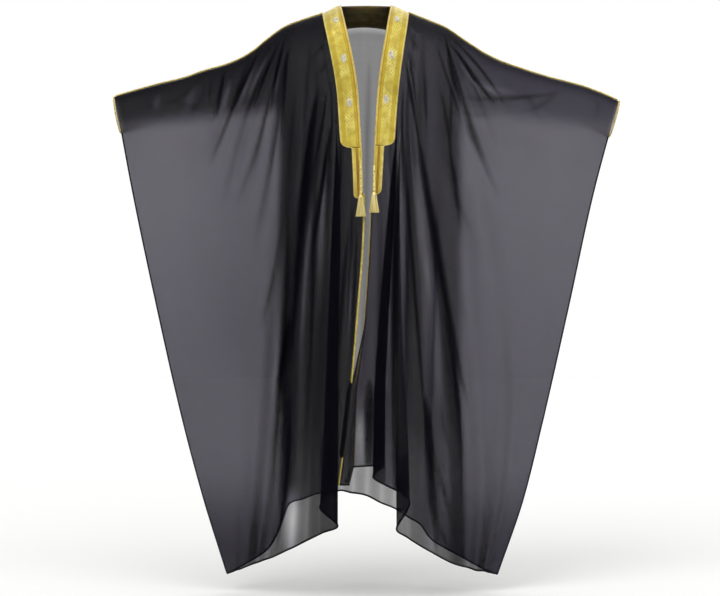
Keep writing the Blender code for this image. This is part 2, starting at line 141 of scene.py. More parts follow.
# x and z of points along the seam over the shoulders and sleeves, from cuff to cuff
SHOULDER_LINE = (
    (-662, -220), (-617, -207), (-548, -188), (-482, -172), (-424, -152), (-374, -138),
    (-331, -121), (-292, -97), (-257, -68), (-209, -35), (-159, -16), (-111, 0), (-65, 20),
    (2, 22), (69, 20), (114, 2), (159, -16), (212, -38), (268, -75), (321, -109), (366, -130),
    (421, -149), (488, -170), (575, -193), (639, -217), (670, -231))
LEVELS = (0.0, 0.20, 0.43, 0.68, 0.84, 1.0)  # shares of the way down of a fold's six x
LIFT_LEVELS = (0.0, 0.20, 0.43, 1.0)
CHEST_LIFT_SHARE = 0.4

SECTIONS = [
    Section("hem", -1450, 155, 140, 345),
    Section("knee", -1050, 146, 124, 325),
    Section("hip", -750, 138, 112, 310),
    Section("waist", -500, 128, 98, 300),
    Section("chest", -220, 112, 98, 285),
    Section("shoulder", -60, 62, 62, 260),
    Section("neck", 30, 25, 20, 210),
]

SIDE_SEAM_RIGHT = Fold("side_seam_right", -662, -615, -554, -482, -428, -365, -1484, 0, 0)
SIDE_SEAM_LEFT = Fold("side_seam_left", 670, 603, 540, 469, 419, 350, -1486, 0, 0)

FRONT_RIGHT_FOLDS = [
    Fold("front_edge", -65, -18, -6, -26, -45, -71, -1238, -4, -45),
    Fold("narrow_band_side", -85, -43, -28, -44, -62, -85, -1253, -6, -42),
    Fold("wide_band_side", -112, -69, -57, -69, -84, -104, -1274, -8, -38),
    Fold("under_turn", -117, -73, -85, -97, -106, -117, -1296, -5, -28),
    Fold("pleat_edge", -121, -77, -64, -69, -70, -70, -1336, 9, 8),
    Fold("ridge_1", -127, -82, -90, -100, -105, -110, -1354, 14, 20),
    Fold("valley_1", -135, -90, -115, -132, -141, -150, -1381, -12, -20),
    Fold("ridge_2", -148, -106, -147, -168, -178, -194, -1401, 14, 20),
    Fold("valley_2", -164, -131, -179, -205, -223, -255, -1439, -18, -24),
    Fold("ridge_3", -193, -169, -214, -240, -259, -286, -1448, 14, 14),
    Fold("valley_3", -231, -223, -255, -277, -293, -312, -1463, -10, -8),
    Fold("ridge_4", -284, -282, -311, -322, -326, -330, -1470, 6, 5),
    Fold("wing_1", -379, -366, -372, -362, -352, -341, -1474, 0, 0),
    Fold("wing_2", -472, -449, -432, -402, -378, -349, -1478, 0, 0),
    Fold("wing_3", -567, -532, -493, -442, -403, -357, -1481, 0, 0),
    SIDE_SEAM_RIGHT,
]

FRONT_LEFT_FOLDS = [
    Fold("front_edge", 69, 32, 18, -1, -25, -34, -1191, -4, -52),
    Fold("narrow_band_side", 90, 57, 39, 18, -6, -11, -1189, -6, -50),
    Fold("wide_band_side", 115, 83, 65, 43, 28, 25, -1187, -8, -46),
    Fold("under_turn_1", 119, 87, 76, 60, 52, 50, -1189, -7, -38),
    Fold("pleat_edge_1", 123, 90, 60, 35, 23, 20, -1213, -1, -22),
    Fold("under_turn_2", 126, 93, 89, 97, 108, 115, -1278, 4, -6),
    Fold("pleat_edge_2", 129, 96, 79, 79, 79, 80, -1343, 13, 12),
    Fold("ridge_1", 133, 103, 102, 99, 102, 109, -1366, 17, 22),
    Fold("valley_1", 139, 115, 140, 158, 168, 168, -1411, -12, -20),
    Fold("ridge_2", 148, 131, 172, 206, 220, 222, -1439, 14, 20),
    Fold("valley_2", 161, 154, 206, 250, 270, 266, -1462, -16, -20),
    Fold("ridge_3", 182, 195, 262, 304, 311, 293, -1470, 14, 12),
    Fold("valley_3", 216, 252, 330, 360, 352, 314, -1476, -10, -6),
    Fold("ridge_4", 268, 306, 382, 394, 374, 326, -1479, 6, 4),
    Fold("wing_1", 366, 383, 426, 418, 388, 333, -1481, 0, 0),
    Fold("wing_2", 466, 454, 464, 436, 399, 339, -1483, 0, 0),
    Fold("wing_3", 570, 529, 502, 453, 409, 345, -1484, 0, 0),
    SIDE_SEAM_LEFT,
]

BACK_FOLDS = [
    SIDE_SEAM_RIGHT,
    Fold("wing_right_3", -567, -534, -496, -444, -403, -350, -1478, 0, 0),
    Fold("wing_right_2", -472, -452, -435, -404, -375, -328, -1466, 0, 0),
    Fold("wing_right_1", -379, -368, -375, -359, -338, -302, -1453, 0, 0),
    Fold("ridge_1", -292, -293, -301, -302, -286, -262, -1430, 8, 14),
    Fold("valley_1", -231, -222, -225, -230, -230, -231, -1376, -12, -22),
    Fold("ridge_2", -186, -178, -187, -198, -201, -204, -1311, 12, 20),
    Fold("valley_2", -146, -143, -154, -165, -166, -167, -1296, -12, -22),
    Fold("ridge_3", -110, -106, -117, -128, -131, -133, -1289, 12, 22),
    Fold("valley_3", -67, -73, -84, -92, -95, -98, -1283, -12, -22),
    Fold("ridge_4", -36, -41, -49, -57, -63, -66, -1283, 12, 24),
    Fold("valley_4", 2, -8, -13, -19, -27, -32, -1285, -14, -26),
    Fold("ridge_5", 37, 28, 22, 20, 14, 6, -1298, 12, 22),
    Fold("valley_5", 69, 63, 60, 58, 52, 44, -1312, -12, -22),
    Fold("ridge_6", 114, 101, 99, 97, 91, 83, -1332, 12, 22),
    Fold("valley_6", 143, 138, 136, 131, 128, 120, -1350, -12, -20),
    Fold("ridge_7", 180, 179, 171, 164, 159, 151, -1372, 12, 20),
    Fold("valley_7", 223, 220, 205, 192, 184, 178, -1404, -12, -20),
    Fold("ridge_8", 278, 280, 260, 245, 230, 214, -1429, 8, 12),
    Fold("wing_left_1", 366, 386, 372, 332, 306, 256, -1447, 0, 0),
    Fold("wing_left_2", 466, 457, 439, 391, 351, 292, -1464, 0, 0),
    Fold("wing_left_3", 570, 530, 493, 433, 386, 322, -1477, 0, 0),
    SIDE_SEAM_LEFT,
]

# Last column: layers a crease adds, a pinched fold's own and painted shade; below 0, a painted
# highlight
FRONT_RIGHT_CREASES = [Crease(*row) for row in (
    # shoulder
    (-217, -63, -267, -177, -324, -287, 3.2, -4, 0.61),
    (-203, -47, -239, -188, -305, -433, 3.2, -5, 1.01),
    (-196, -77, -226, -265, -268, -557, 3.2, -5, 0.88),
    (-252, -447, -275, -551, -293, -659, 6.4, -3, 0.27),
    # sleeve
    (-303, -104, -342, -240, -411, -405, 3.7, -5, 0.94),
    (-366, -135, -381, -214, -416, -340, 2.8, -4, 0.74),
    (-293, -214, -316, -271, -335, -322, 2.3, -2, 0.34),
    (-278, -193, -301, -250, -324, -317, 2.3, -2, 0.27),
    (-438, -188, -485, -224, -531, -250, 4.6, -3, 0.27),
    (-583, -219, -557, -260, -516, -286, 3.7, -3, 0.2),
    # wing
    (-298, -286, -322, -369, -347, -486, 4.6, -3, 0.2),
    (-267, -304, -293, -408, -316, -512, 4.6, -3, 0.2),
    (-371, -286, -397, -330, -420, -395, 5.5, -3, 0.23),
    (-218, -530, -241, -675, -280, -841, 4.1, -3, 0.3),
    # torso
    (-122, -208, -145, -356, -164, -512, 4.5, -5, 1.8),
    # main
    (-128, -230, -168, -600, -198, -940, 8.5, -7, 3.4),
    # torso
    (-204, -850, -226, -1040, -242, -1260, 4, -4, 1.8),
    (-84, -290, -116, -499, -142, -690, 4, -5, 2.2),
    (-98, -220, -117, -330, -142, -450, 3.2, -4, 1.6),
    (-62, -369, -73, -538, -88, -732, 3.2, -4, 1.22),
    (-76, -540, -88, -830, -106, -1090, 7, -6, 2.8),
    (-42, -563, -60, -758, -78, -1017, 4, -4, 1.35),
    (-34, -499, -37, -628, -47, -836, 3.2, -3, 1.6),
    (-182, -219, -195, -343, -205, -473, 4, -3, 0.68),
    # edge
    (-21, -556, -31, -810, -42, -1043, 3.2, -2, 1.35),
    # light
    (-136, -450, -161, -720, -182, -1080, 8, 3, -0.9),
    (-112, -400, -111, -610, -121, -830, 9, 4, -1.0),
    (-70, -460, -75, -538, -75, -628, 3.2, 2, -0.5),
    (-39, -556, -39, -732, -44, -874, 2.8, 2, -0.8),
    # bundle
    (-231, -1017, -236, -1172, -236, -1359, 16, -4, 0.6),
    (-196, -980, -205, -1220, -236, -1420, 4.6, -4, 2.4),
    (-101, -1043, -114, -1172, -117, -1289, 2.4, -3, 1.08),
    # shade
    (-210, -760, -211, -960, -214, -1224, 6, -4, 0.9),
    # corner
    (-298, -1380, -283, -1403, -267, -1421, 2, -1, 0.54),
    # pucker
    (-107, -69, -125, -89, -151, -100, 2.4, 3, -0.3),
    (-101, -94, -122, -115, -140, -141, 2.4, -3, 0.54),
    (-99, -115, -117, -136, -127, -162, 2.4, 3, -0.3),
    (-94, -141, -109, -162, -119, -198, 2.4, -3, 0.54),
    (-88, -167, -104, -193, -114, -229, 2.4, 3, -0.25),
    (-114, -43, -138, -63, -158, -69, 2.4, -2, 0.41),
    # wing soft
    (-330, -420, -330, -760, -318, -1120, 26, 5, 0),
    (-425, -330, -405, -620, -370, -960, 34, -4, 0),
    (-510, -320, -470, -620, -430, -900, 38, 4, 0),
    # sleeve light
    (-286, -132, -312, -200, -334, -262, 7, 3, -0.8),
    (-250, -112, -282, -175, -310, -240, 5, 3, -0.8),
    (-226, -170, -240, -212, -256, -256, 4, 3, -0.8),
    (-352, -180, -366, -232, -384, -284, 7, 3, -0.75),
    (-440, -190, -460, -236, -470, -276, 11, 3, -0.4),
    (-540, -208, -548, -244, -560, -280, 9, 3, -0.35),
    # main
    (-190, -790, -212, -905, -240, -1060, 6.5, -5, 2.4),
    # bundle
    (-198, -1050, -200, -1180, -213, -1310, 4, -4, 2.2),
    # torso
    (-68, -430, -79, -560, -86, -700, 3.4, -4, 1.6),
    # hem light
    (-195, -1235, -198, -1340, -207, -1490, 22, 0, -1.7),
    # fan
    (-254, -235, -293, -380, -346, -530, 5.5, -4, 0.75),
    (-228, -230, -249, -390, -294, -610, 5.5, -4, 0.9),
    (-312, -270, -350, -405, -382, -530, 7, -3, 0.4),
    (-218, -560, -246, -714, -282, -850, 7, -4, 0.5),
    (-352, -265, -388, -345, -414, -410, 5, -3, 0.6),
    # elbow
    (-369, -160, -379, -219, -390, -284, 2.6, -3, 2.4),
    (-284, -116, -319, -192, -357, -274, 4.6, -4, 2.6),
    (-231, -98, -268, -187, -296, -264, 2.6, -3, 2.2),
    (-214, -92, -235, -187, -249, -274, 2.6, -3, 2.4),
    (-200, -112, -212, -224, -221, -346, 3.0, -3, 1.8),
    (-398, -176, -407, -214, -400, -256, 2.2, -2, 1.2),
)]

# Last column: layers a crease adds, partly painted shade; below 0, a painted highlight
FRONT_LEFT_CREASES = [Crease(*row) for row in (
    # torso
    (103, -136, 127, -271, 153, -408, 2.8, -4, 1.49),
    (140, -340, 201, -700, 268, -1030, 6.5, -6, 2.8),
    (116, -141, 127, -208, 137, -286, 2, -3, 0.94),
    (153, -167, 158, -240, 160, -317, 2.4, -2, 0.54),
    (197, -214, 217, -304, 230, -447, 3.6, -3, 0.94),
    (228, -201, 225, -291, 225, -408, 3.2, -3, 0.94),
    (222, -369, 238, -460, 250, -600, 5, -4, 1.3),
    (98, -208, 96, -343, 103, -512, 2.8, -4, 1.22),
    (97, -320, 129, -740, 161, -1120, 3.6, -4, 1.9),
    (203, -790, 242, -1010, 253, -1350, 5, -4, 2.3),
    (210, -874, 220, -952, 238, -1017, 2, -2, 0.94),
    # shoulder
    (188, -100, 220, -193, 264, -307, 2.8, -4, 0.61),
    (203, -62, 254, -219, 327, -443, 3.2, -5, 0.94),
    (235, -79, 305, -157, 390, -284, 3.2, -4, 0.74),
    (208, -71, 256, -136, 315, -237, 2.8, -3, 0.41),
    (241, -141, 272, -188, 303, -219, 2.3, -2, 0.27),
    # sleeve
    (505, -208, 466, -245, 401, -276, 4.6, -3, 0.27),
    (603, -224, 614, -255, 598, -302, 3.7, -3, 0.2),
    # wing
    (292, -286, 329, -369, 357, -442, 7.4, -3, 0.23),
    (248, -499, 272, -556, 298, -602, 5.5, -3, 0.17),
    (251, -732, 261, -810, 272, -882, 3.7, -2, 0.17),
    (251, -944, 264, -1004, 272, -1048, 2.8, -2, 0.34),
    # light
    (128, -390, 149, -600, 168, -790, 9, 4, -0.85),
    (59, -395, 62, -654, 54, -1017, 3, 2, -0.8),
    (90, -420, 96, -600, 106, -770, 5.5, 2, -0.35),
    # bundle
    (156, -1010, 171, -1180, 186, -1430, 8, -5, 2.6),
    (195, -1030, 210, -1115, 236, -1190, 2, -3, 0.5),
    (176, -1150, 210, -1276, 252, -1400, 5, -3, 0.6),
    (160, -1230, 189, -1341, 226, -1420, 4.5, -3, 0.5),
    (85, -1030, 80, -1172, 80, -1341, 2.4, -3, 1.35),
    # pucker
    (116, -48, 132, -66, 153, -79, 2.4, 3, -0.3),
    (114, -74, 127, -94, 145, -115, 2.4, -3, 0.54),
    (111, -97, 124, -118, 140, -136, 2.4, 3, -0.3),
    (109, -120, 119, -141, 132, -162, 2.4, -3, 0.54),
    (106, -151, 116, -177, 127, -214, 2.4, 3, -0.25),
    # wing soft
    (345, -430, 350, -760, 340, -1120, 26, 5, 0),
    (440, -340, 425, -640, 395, -980, 34, -4, 0),
    (520, -330, 485, -620, 440, -920, 38, 4, 0),
    # sleeve
    (246, -226, 388, -230, 546, -206, 4.2, -3, 0.55),
    (262, -262, 300, -272, 352, -276, 3, -3, 0.5),
    # sleeve light
    (262, -178, 330, -206, 420, -214, 6, 3, -0.45),
    (246, -120, 284, -190, 322, -250, 4, 3, -0.45),
    # border
    (83, -390, 76, -760, 75, -1300, 5.5, -4, 3.0),
    # light
    (160, -630, 177, -840, 192, -1060, 13, 4, -0.8),
    # gap light
    (-9, -1040, -12, -1150, -17, -1270, 15, 0, -1.3),
    # turn shade
    (13, -960, 9, -1100, 6, -1215, 9, -3, 2.4),
    # fan
    (262, -235, 303, -360, 360, -500, 8, -4, 0.8),
    (238, -470, 258, -520, 298, -590, 7, -3, 0.3),
    # elbow
    (213, -74, 231, -175, 262, -258, 3.2, -4, 1.6),
    (258, -250, 282, -320, 312, -392, 8, -4, 0.9),
    (228, -92, 292, -184, 346, -250, 3.6, -4, 1.6),
    (206, -112, 218, -170, 240, -236, 2.4, 3, -0.6),
    (300, -196, 336, -216, 372, -236, 3.2, 3, -0.6),
)]

# Last column: layers a crease adds, partly painted shade; below 0, a painted highlight
BACK_CREASES = [Crease(*row) for row in (
    # shoulder right
    (-205, -70, -232, -200, -262, -420, 3.7, -5, 0.61),
    (-262, -100, -300, -220, -348, -380, 3.7, -5, 0.68),
    (-150, -60, -160, -240, -172, -520, 4.6, -4, 0.54),
    (-232, -84, -268, -190, -312, -320, 3.2, -3, 0.41),
    # shoulder left
    (212, -78, 240, -210, 280, -420, 3.7, -5, 0.61),
    (268, -104, 306, -220, 360, -390, 3.7, -5, 0.68),
    (158, -64, 164, -250, 168, -540, 4.6, -4, 0.54),
    (238, -90, 276, -196, 322, -330, 3.2, -3, 0.41),
    # yoke
    (-60, -96, -66, -300, -70, -620, 4, -4, 1.08),
    (12, -100, 4, -330, -4, -700, 6, -4, 0.3),
    (72, -98, 70, -280, 66, -600, 3.6, -4, 0.94),
    # yoke light
    (-96, -120, -104, -380, -110, -760, 5.6, 4, -0.2),
    (40, -130, 34, -420, 26, -800, 5.6, 4, -0.2),
    # waist
    (-132, -420, -142, -740, -150, -1080, 4, -4, 1.22),
    (-28, -460, -38, -820, -48, -1160, 5.6, 4, -0.2),
    (44, -520, 40, -860, 30, -1190, 3.6, -4, 1.08),
    (118, -440, 114, -780, 108, -1120, 4, -4, 1.08),
    (196, -500, 186, -820, 172, -1180, 4, -4, 0.94),
    (-206, -480, -212, -800, -216, -1160, 4, -4, 0.94),
    # hem
    (-84, -900, -90, -1080, -96, -1262, 3.2, -3, 0.68),
    (62, -940, 56, -1110, 46, -1284, 3.2, -3, 0.68),
    # wing soft
    (-330, -420, -330, -760, -300, -1120, 26, 5, 0),
    (-440, -330, -415, -620, -378, -960, 34, -4, 0),
    (345, -430, 330, -760, 300, -1120, 26, 5, 0),
    (450, -340, 425, -640, 380, -980, 34, -4, 0),
    # sleeve right
    (-560, -214, -480, -236, -400, -262, 4.6, -4, 0.27),
    (-420, -170, -452, -240, -500, -300, 4.6, -4, 0.34),
    # sleeve left
    (360, -150, 430, -216, 520, -252, 4.6, -4, 0.27),
    (420, -170, 450, -240, 490, -310, 4.6, -4, 0.34),
    # gap light
    (-8, -1000, -10, -1120, -14, -1240, 18, 0, -0.7),
)]


# ---- curves and small helpers
def monotone(stations: Sequence[float], values: Array, at: Array) -> Array:
    """Smooth curves through values that never overshoot them (monotone cubic).

    Args:
        stations: Where the values stand, rising.
        values: One curve, or one in each row.
        at: Where to read them, with the same number of rows.

    Returns:
        The curves' values at those places.
    """
    stations, values = np.asarray(stations, float), np.asarray(values, float)
    widths = np.diff(stations)
    rises = np.diff(values) / widths
    before, after = 2 * widths[1:] + widths[:-1], widths[1:] + 2 * widths[:-1]
    turning = rises[..., :-1] * rises[..., 1:] <= 0
    left, right = (np.where(turning, 1.0, rise) for rise in (rises[..., :-1], rises[..., 1:]))
    inner = np.where(turning, 0.0, (before + after) / (before / left + after / right))
    slopes = np.concatenate([rises[..., :1], inner, rises[..., -1:]], -1)
    at = np.clip(at, stations[0], stations[-1])
    i = np.clip(np.searchsorted(stations, at, side="right") - 1, 0, len(stations) - 2)
    part, width = (at - stations[i]) / widths[i], widths[i]
    first, last, rise_in, rise_out = (
        curve[k] if curve.ndim == 1 else np.take_along_axis(curve, k, -1)
        for curve in (values, slopes) for k in (i, i + 1))
    return (first * (1 + 2 * part) * (1 - part) ** 2 + last * part * part * (3 - 2 * part)
            + width * rise_in * part * (1 - part) ** 2
            - width * rise_out * part * part * (1 - part))


def ease(value: Array, start: float, end: float) -> Array:
    """0 before start, 1 after end and smooth between them."""
    share = np.clip((np.asarray(value, float) - start) / (end - start), 0.0, 1.0)
    return share * share * (3 - 2 * share)


def blend(pair: Pair, share: Array) -> Array:
    """The value between the pair's two at this share."""
    return pair[0] + (pair[1] - pair[0]) * share


def unit(vectors: Array) -> Array:
    """Vectors scaled to length 1."""
    return vectors / np.maximum(np.linalg.norm(vectors, axis=-1, keepdims=True), 1e-12)


def normals(points: Array) -> Array:
    """Directions square to a grid of points, at each of them."""
    return unit(np.cross(np.gradient(points, axis=1), np.gradient(points, axis=0)))


def joined(*parts: Array) -> Array:
    """Coordinates joined into points, each part spread over the same grid."""
    return np.stack(np.broadcast_arrays(*parts), -1)


def travelled(points: Array) -> Array:
    """Length of the line through the points, up to each of them."""
    return np.r_[0, np.cumsum(np.linalg.norm(np.diff(points, axis=0), axis=1))]


def shoulder_z(x: Array) -> Array:
    """Height of the shoulder seam at x."""
    seam_x, seam_z = zip(*SHOULDER_LINE)
    return monotone(np.array(seam_x) * MM, np.array(seam_z) * MM, x)


def linear(colour: str) -> tuple[float, float, float, float]:
    """An sRGB hex colour, such as #D8B45A, as linear RGBA."""
    parts = [int(colour[i:i + 2], 16) / 255 for i in (1, 3, 5)]
    red, green, blue = (c / 12.92 if c <= 0.04045 else ((c + 0.055) / 1.055) ** 2.4 for c in parts)
    return red, green, blue, 1.0


# ---- nodes
def add(tree: Tree, kind: str, inputs: dict | Sequence = (), output: int | str = 0,
        feeds: str = "", **settings) -> Socket:
    """Add a node with its settings and links.

    Args:
        tree: The node tree.
        kind: The node's type after ShaderNode, such as Math.
        inputs: Sockets to link or constants to set, by input name, by number or in order.
        output: Name or number of the output to return.
        feeds: Input of the Principled shader that the output is linked to as well.
        **settings: The node's own settings.

    Returns:
        One output socket of the new node.
    """
    node = tree.nodes.new("ShaderNode" + kind)
    for name, value in settings.items():
        setattr(node, name, value)
    for key, value in inputs.items() if isinstance(inputs, dict) else enumerate(inputs):
        if isinstance(value, Socket):
            tree.links.new(value, node.inputs[key])
        else:
            node.inputs[key].default_value = value
    if feeds:
        tree.links.new(node.outputs[output], tree.nodes["Principled BSDF"].inputs[feeds])
    return node.outputs[output]


def tint(tree: Tree, tone: Socket, ends: Sequence[float], colours: Sequence) -> None:
    """Colour the shader unevenly: from the first colour to the second where a tone is higher.

    Args:
        tree: The material's nodes.
        tone: The tone to follow.
        ends: The tones where the change starts and ends, and the second colour's share there.
        colours: Both colours, as sockets or linear RGBA.
    """
    share = add(tree, "MapRange", (tone, *ends))
    add(tree, "Mix", {"Factor": share, "A": colours[0], "B": colours[1]}, "Result", "Base Color",
        data_type="RGBA")


def new_material(name: str, sockets: dict) -> tuple[Finish, Tree]:
    """A material whose Principled shader has these constants, and its nodes."""
    made = bpy.data.materials.new(name)
    made.use_nodes = True
    for key, value in sockets.items():
        made.node_tree.nodes["Principled BSDF"].inputs[key].default_value = value
    return made, made.node_tree


# ---- finishes
@dataclass(frozen=True)
class SheerVoile:
    """Plain-woven fine wool and silk voile, dyed black: sheer, soft, with a dull silky sheen."""

    thin: str = "#312C3D"  # one layer, lit through: its fibres look violet-grey
    thick: str = "#06050B"  # painted shade: the dark colour taken where layers gather and stack
    sheen: str = "#8B8A8E"
    layer_transmission: float = 0.338  # share of light that passes one layer's gaps
    faces_per_layer: int = 2  # a thin shell has an outer and an inner face
    slub_length: float = 150 * MM  # thicker stretches of the hand-spun thread
    slub_width: float = 5.5 * MM  # drawn coarser than the real 1 mm, which would not show
    slub_strength: float = 0.10  # of one layer's cover
    weave_pitch: float = 1.3 * MM  # real threads are 0.3 mm apart, too fine to be seen
    weave_strength: float = 0.012

    def make(self) -> Finish:
        """The material, whose see-through share follows the cloth's own layers and threads."""
        made, tree = new_material("black sheer wool voile", {
            "Roughness": 0.62, "IOR": 1.5, "Specular IOR Level": 0.015, "Sheen Weight": 0.02,
            "Sheen Roughness": 0.4, "Sheen Tint": linear(self.sheen)})
        cloth = add(tree, "TexCoord", output="UV")
        across = add(tree, "SeparateXYZ", (cloth,)).node
        slubs, threads = [], []
        stretch = (1 / self.slub_width, 1 / self.slub_length)
        for axis, scale in (("X", stretch), ("Y", stretch[::-1])):
            drawn = add(tree, "Mapping", {"Vector": cloth, "Scale": (*scale, 1)})
            slubs.append(add(tree, "TexNoise", {"Vector": drawn, "Scale": 1.0, "Detail": 1.0},
                             "Fac"))
            turns = add(tree, "Math", (across.outputs[axis], 2 * math.pi / self.weave_pitch),
                        operation="MULTIPLY")
            threads.append(add(tree, "Math", (turns,), operation="SINE"))
        slub = add(tree, "Math", slubs, operation="ADD")
        weave = add(tree, "Math", threads, operation="MULTIPLY")
        uneven = add(tree, "Math", (slub, self.slub_strength, 1 - self.slub_strength),
                     operation="MULTIPLY_ADD")
        cover = add(tree, "Math", (weave, self.weave_strength, uneven), operation="MULTIPLY_ADD")
        layers = add(tree, "Attribute", output="Fac", attribute_name="layers")
        dense = add(tree, "Math", (layers, cover), operation="MULTIPLY")
        through = add(tree, "Math", (self.layer_transmission ** (1 / self.faces_per_layer), dense),
                      operation="POWER")
        add(tree, "Math", (1.0, through), feeds="Alpha", operation="SUBTRACT")
        # painted shade: the colour darkens from thin to shaded where the closeness attribute is
        # high
        shade_share = add(tree, "Attribute", output="Fac", attribute_name="closeness")
        add(tree, "Mix", {"Factor": shade_share, "A": linear(self.thin), "B": linear(self.thick)},
            "Result", "Base Color", data_type="RGBA")
        add(tree, "Bump", {"Height": cover, "Strength": 0.3, "Distance": 0.25 * MM},
            feeds="Normal")
        return made


@dataclass(frozen=True)
class RolledHemCloth:
    """The same voile rolled three times over and stitched: opaque, black and soft."""

    thread: str = "#0C0B0D"
    pulls: float = 260.0  # a metre: a stitch pulls the roll in every 4 mm

    def make(self) -> Finish:
        """The material, uneven where its stitches pull."""
        made, tree = new_material("rolled voile hem", {
            "Base Color": linear(self.thread), "Roughness": 0.75, "Specular IOR Level": 0.06,
            "Sheen Weight": 0.03, "Sheen Roughness": 0.5})
        own = add(tree, "TexCoord", output="Object")
        pulls = add(tree, "TexNoise", {"Vector": own, "Scale": self.pulls, "Detail": 2.0}, "Fac")
        add(tree, "Bump", {"Height": pulls, "Strength": 0.4, "Distance": 0.5 * MM}, feeds="Normal")
        return made


class Zone(NamedTuple):
    """A stripe of a band: where it ends across the band, its height and its colour."""

    name: str
    end: float
    height: float
    colour: str


@dataclass(frozen=True)
class ZariBrocade:
    """Gold-wrapped thread woven into a stiff figured band: bright, metallic, finely ribbed."""

    name: str
    zones: tuple[Zone, ...]
    figured: str = ""  # the zone that carries the lozenges
    lozenge_width: float = 7.0 * MM
    lozenge_length: float = 10 * MM
    rib_pitch: float = 1.6 * MM  # real ribs are 0.6 mm apart, drawn as coarse as shows
    soft: float = 0.4  # half width of the change between stripes, millimetres
    line: Pair = (0.07, 0.15)  # half width of the lozenges' lines, full and faded, in lozenges
    eye: Pair = (0.12, 0.2)  # the same of the eye in each
    glints: float = 22.0  # a metre: stretches of 45 mm where the figures catch more light
    patches: float = 62.0  # a metre: warm patches of 16 mm, where the silk core shows
    grains: float = 520.0  # a metre: single wraps are 0.2 mm, drawn at 2 mm to show
    light: str = "#D2CC80"
    warm: str = "#8A7212"

    @property
    def width(self) -> float:
        """Width of the band."""
        return self.zones[-1].end * MM

    @property
    def ends(self) -> list[float]:
        """The band's edge and each zone's end."""
        return [0.0] + [zone.end * MM for zone in self.zones]

    def height_at(self, across: Array) -> Array:
        """Height of the weave over the band's ground, this far from its inner edge."""
        middles = [(a + b) / 2 for a, b in zip(self.ends, self.ends[1:])]
        return np.interp(across, middles, [zone.height * MM for zone in self.zones])

    def figure(self, tree: Tree, across: Socket) -> Socket:
        """Lozenge outlines with an eye in each, on the figured zone alone.

        Args:
            tree: The material's nodes.
            across: Distance from the band's inner edge.

        Returns:
            1 on the figures and 0 off them.
        """
        zone = [zone.name for zone in self.zones].index(self.figured)
        start, end = self.ends[zone], self.ends[zone + 1]
        cells = []
        for value, steps in ((across, ((start, "SUBTRACT"), (self.lozenge_width, "DIVIDE"))),
                             (across.node.outputs["Y"], ((self.lozenge_length, "DIVIDE"),))):
            for number, step in (*steps, (0, "FRACT"), (0.5, "SUBTRACT"), (0, "ABSOLUTE")):
                value = add(tree, "Math", (value, number), operation=step)
            cells.append(value)
        reach = add(tree, "Math", cells, operation="ADD")
        off = add(tree, "Math", (reach, 0.5), operation="SUBTRACT")
        near = add(tree, "Math", (off,), operation="ABSOLUTE")
        drawn = add(tree, "Math", (add(tree, "MapRange", (near, *self.line, 1.0, 0.0)),
                                   add(tree, "MapRange", (reach, *self.eye, 0.8, 0.0))),
                    operation="MAXIMUM")
        inside = add(tree, "Math", (add(tree, "Math", (across, start), operation="GREATER_THAN"),
                                    add(tree, "Math", (across, end), operation="LESS_THAN")),
                     operation="MULTIPLY")
        return add(tree, "Math", (drawn, inside), operation="MULTIPLY")

    def make(self) -> Finish:
        """The material: stripes across the band, lozenges on the figured one, fine ribs."""
        made, tree = new_material(self.name, {
            "Metallic": 0.5, "Specular IOR Level": 0.5, "Sheen Weight": 0.1,
            "Sheen Roughness": 0.4})
        own = add(tree, "TexCoord", output="Object")
        across = add(tree, "SeparateXYZ", (add(tree, "TexCoord", output="UV"),))
        share = add(tree, "Math", (across, self.width), operation="DIVIDE")
        colour = add(tree, "ValToRGB", (share,), "Color")
        ramp = colour.node.color_ramp
        ramp.interpolation = "EASE"
        starts = (0.0, *(zone.end for zone in self.zones))
        stops = [(edge / self.zones[-1].end, zone.colour) for start, zone in zip(starts, self.zones)
                 for edge in (start + self.soft, zone.end - self.soft)]
        while len(ramp.elements) < len(stops):
            ramp.elements.new(0.5)
        for element, (position, shade) in zip(ramp.elements, stops):
            element.position, element.color = position, linear(shade)
        turns = add(tree, "Math", (across, 2 * math.pi / self.rib_pitch), operation="MULTIPLY")
        ribs = add(tree, "Math", (turns,), operation="SINE")
        height = add(tree, "Math", (ribs, 0.5, 0.5), operation="MULTIPLY_ADD")
        patch, grain = (
            add(tree, "TexNoise", {"Vector": own, "Scale": scale, "Detail": 2.0}, "Fac")
            for scale in (self.patches, self.grains))
        if self.figured:
            glint = add(tree, "TexNoise", {"Vector": own, "Scale": self.glints, "Detail": 1.0},
                        "Fac")
            figure = self.figure(tree, across)
            bright = add(tree, "MapRange", (glint, 0.38, 0.64, 0.2, 0.95))
            tone = add(tree, "Math", (figure, bright), operation="MULTIPLY")
            colour = add(tree, "Mix", {"Factor": tone, "A": colour, "B": linear(self.light)},
                         "Result", data_type="RGBA")
            height = add(tree, "Math", (figure, height), operation="ADD")
        tint(tree, patch, (0.42, 0.66, 0.0, 0.55), (colour, linear(self.warm)))
        add(tree, "MapRange", (grain, 0.3, 0.7, 0.34, 0.56), feeds="Roughness")
        relief = add(tree, "Math", (grain, 0.8, height), operation="MULTIPLY_ADD")
        add(tree, "Bump", {"Height": relief, "Strength": 0.7, "Distance": 0.35 * MM},
            feeds="Normal")
        return made


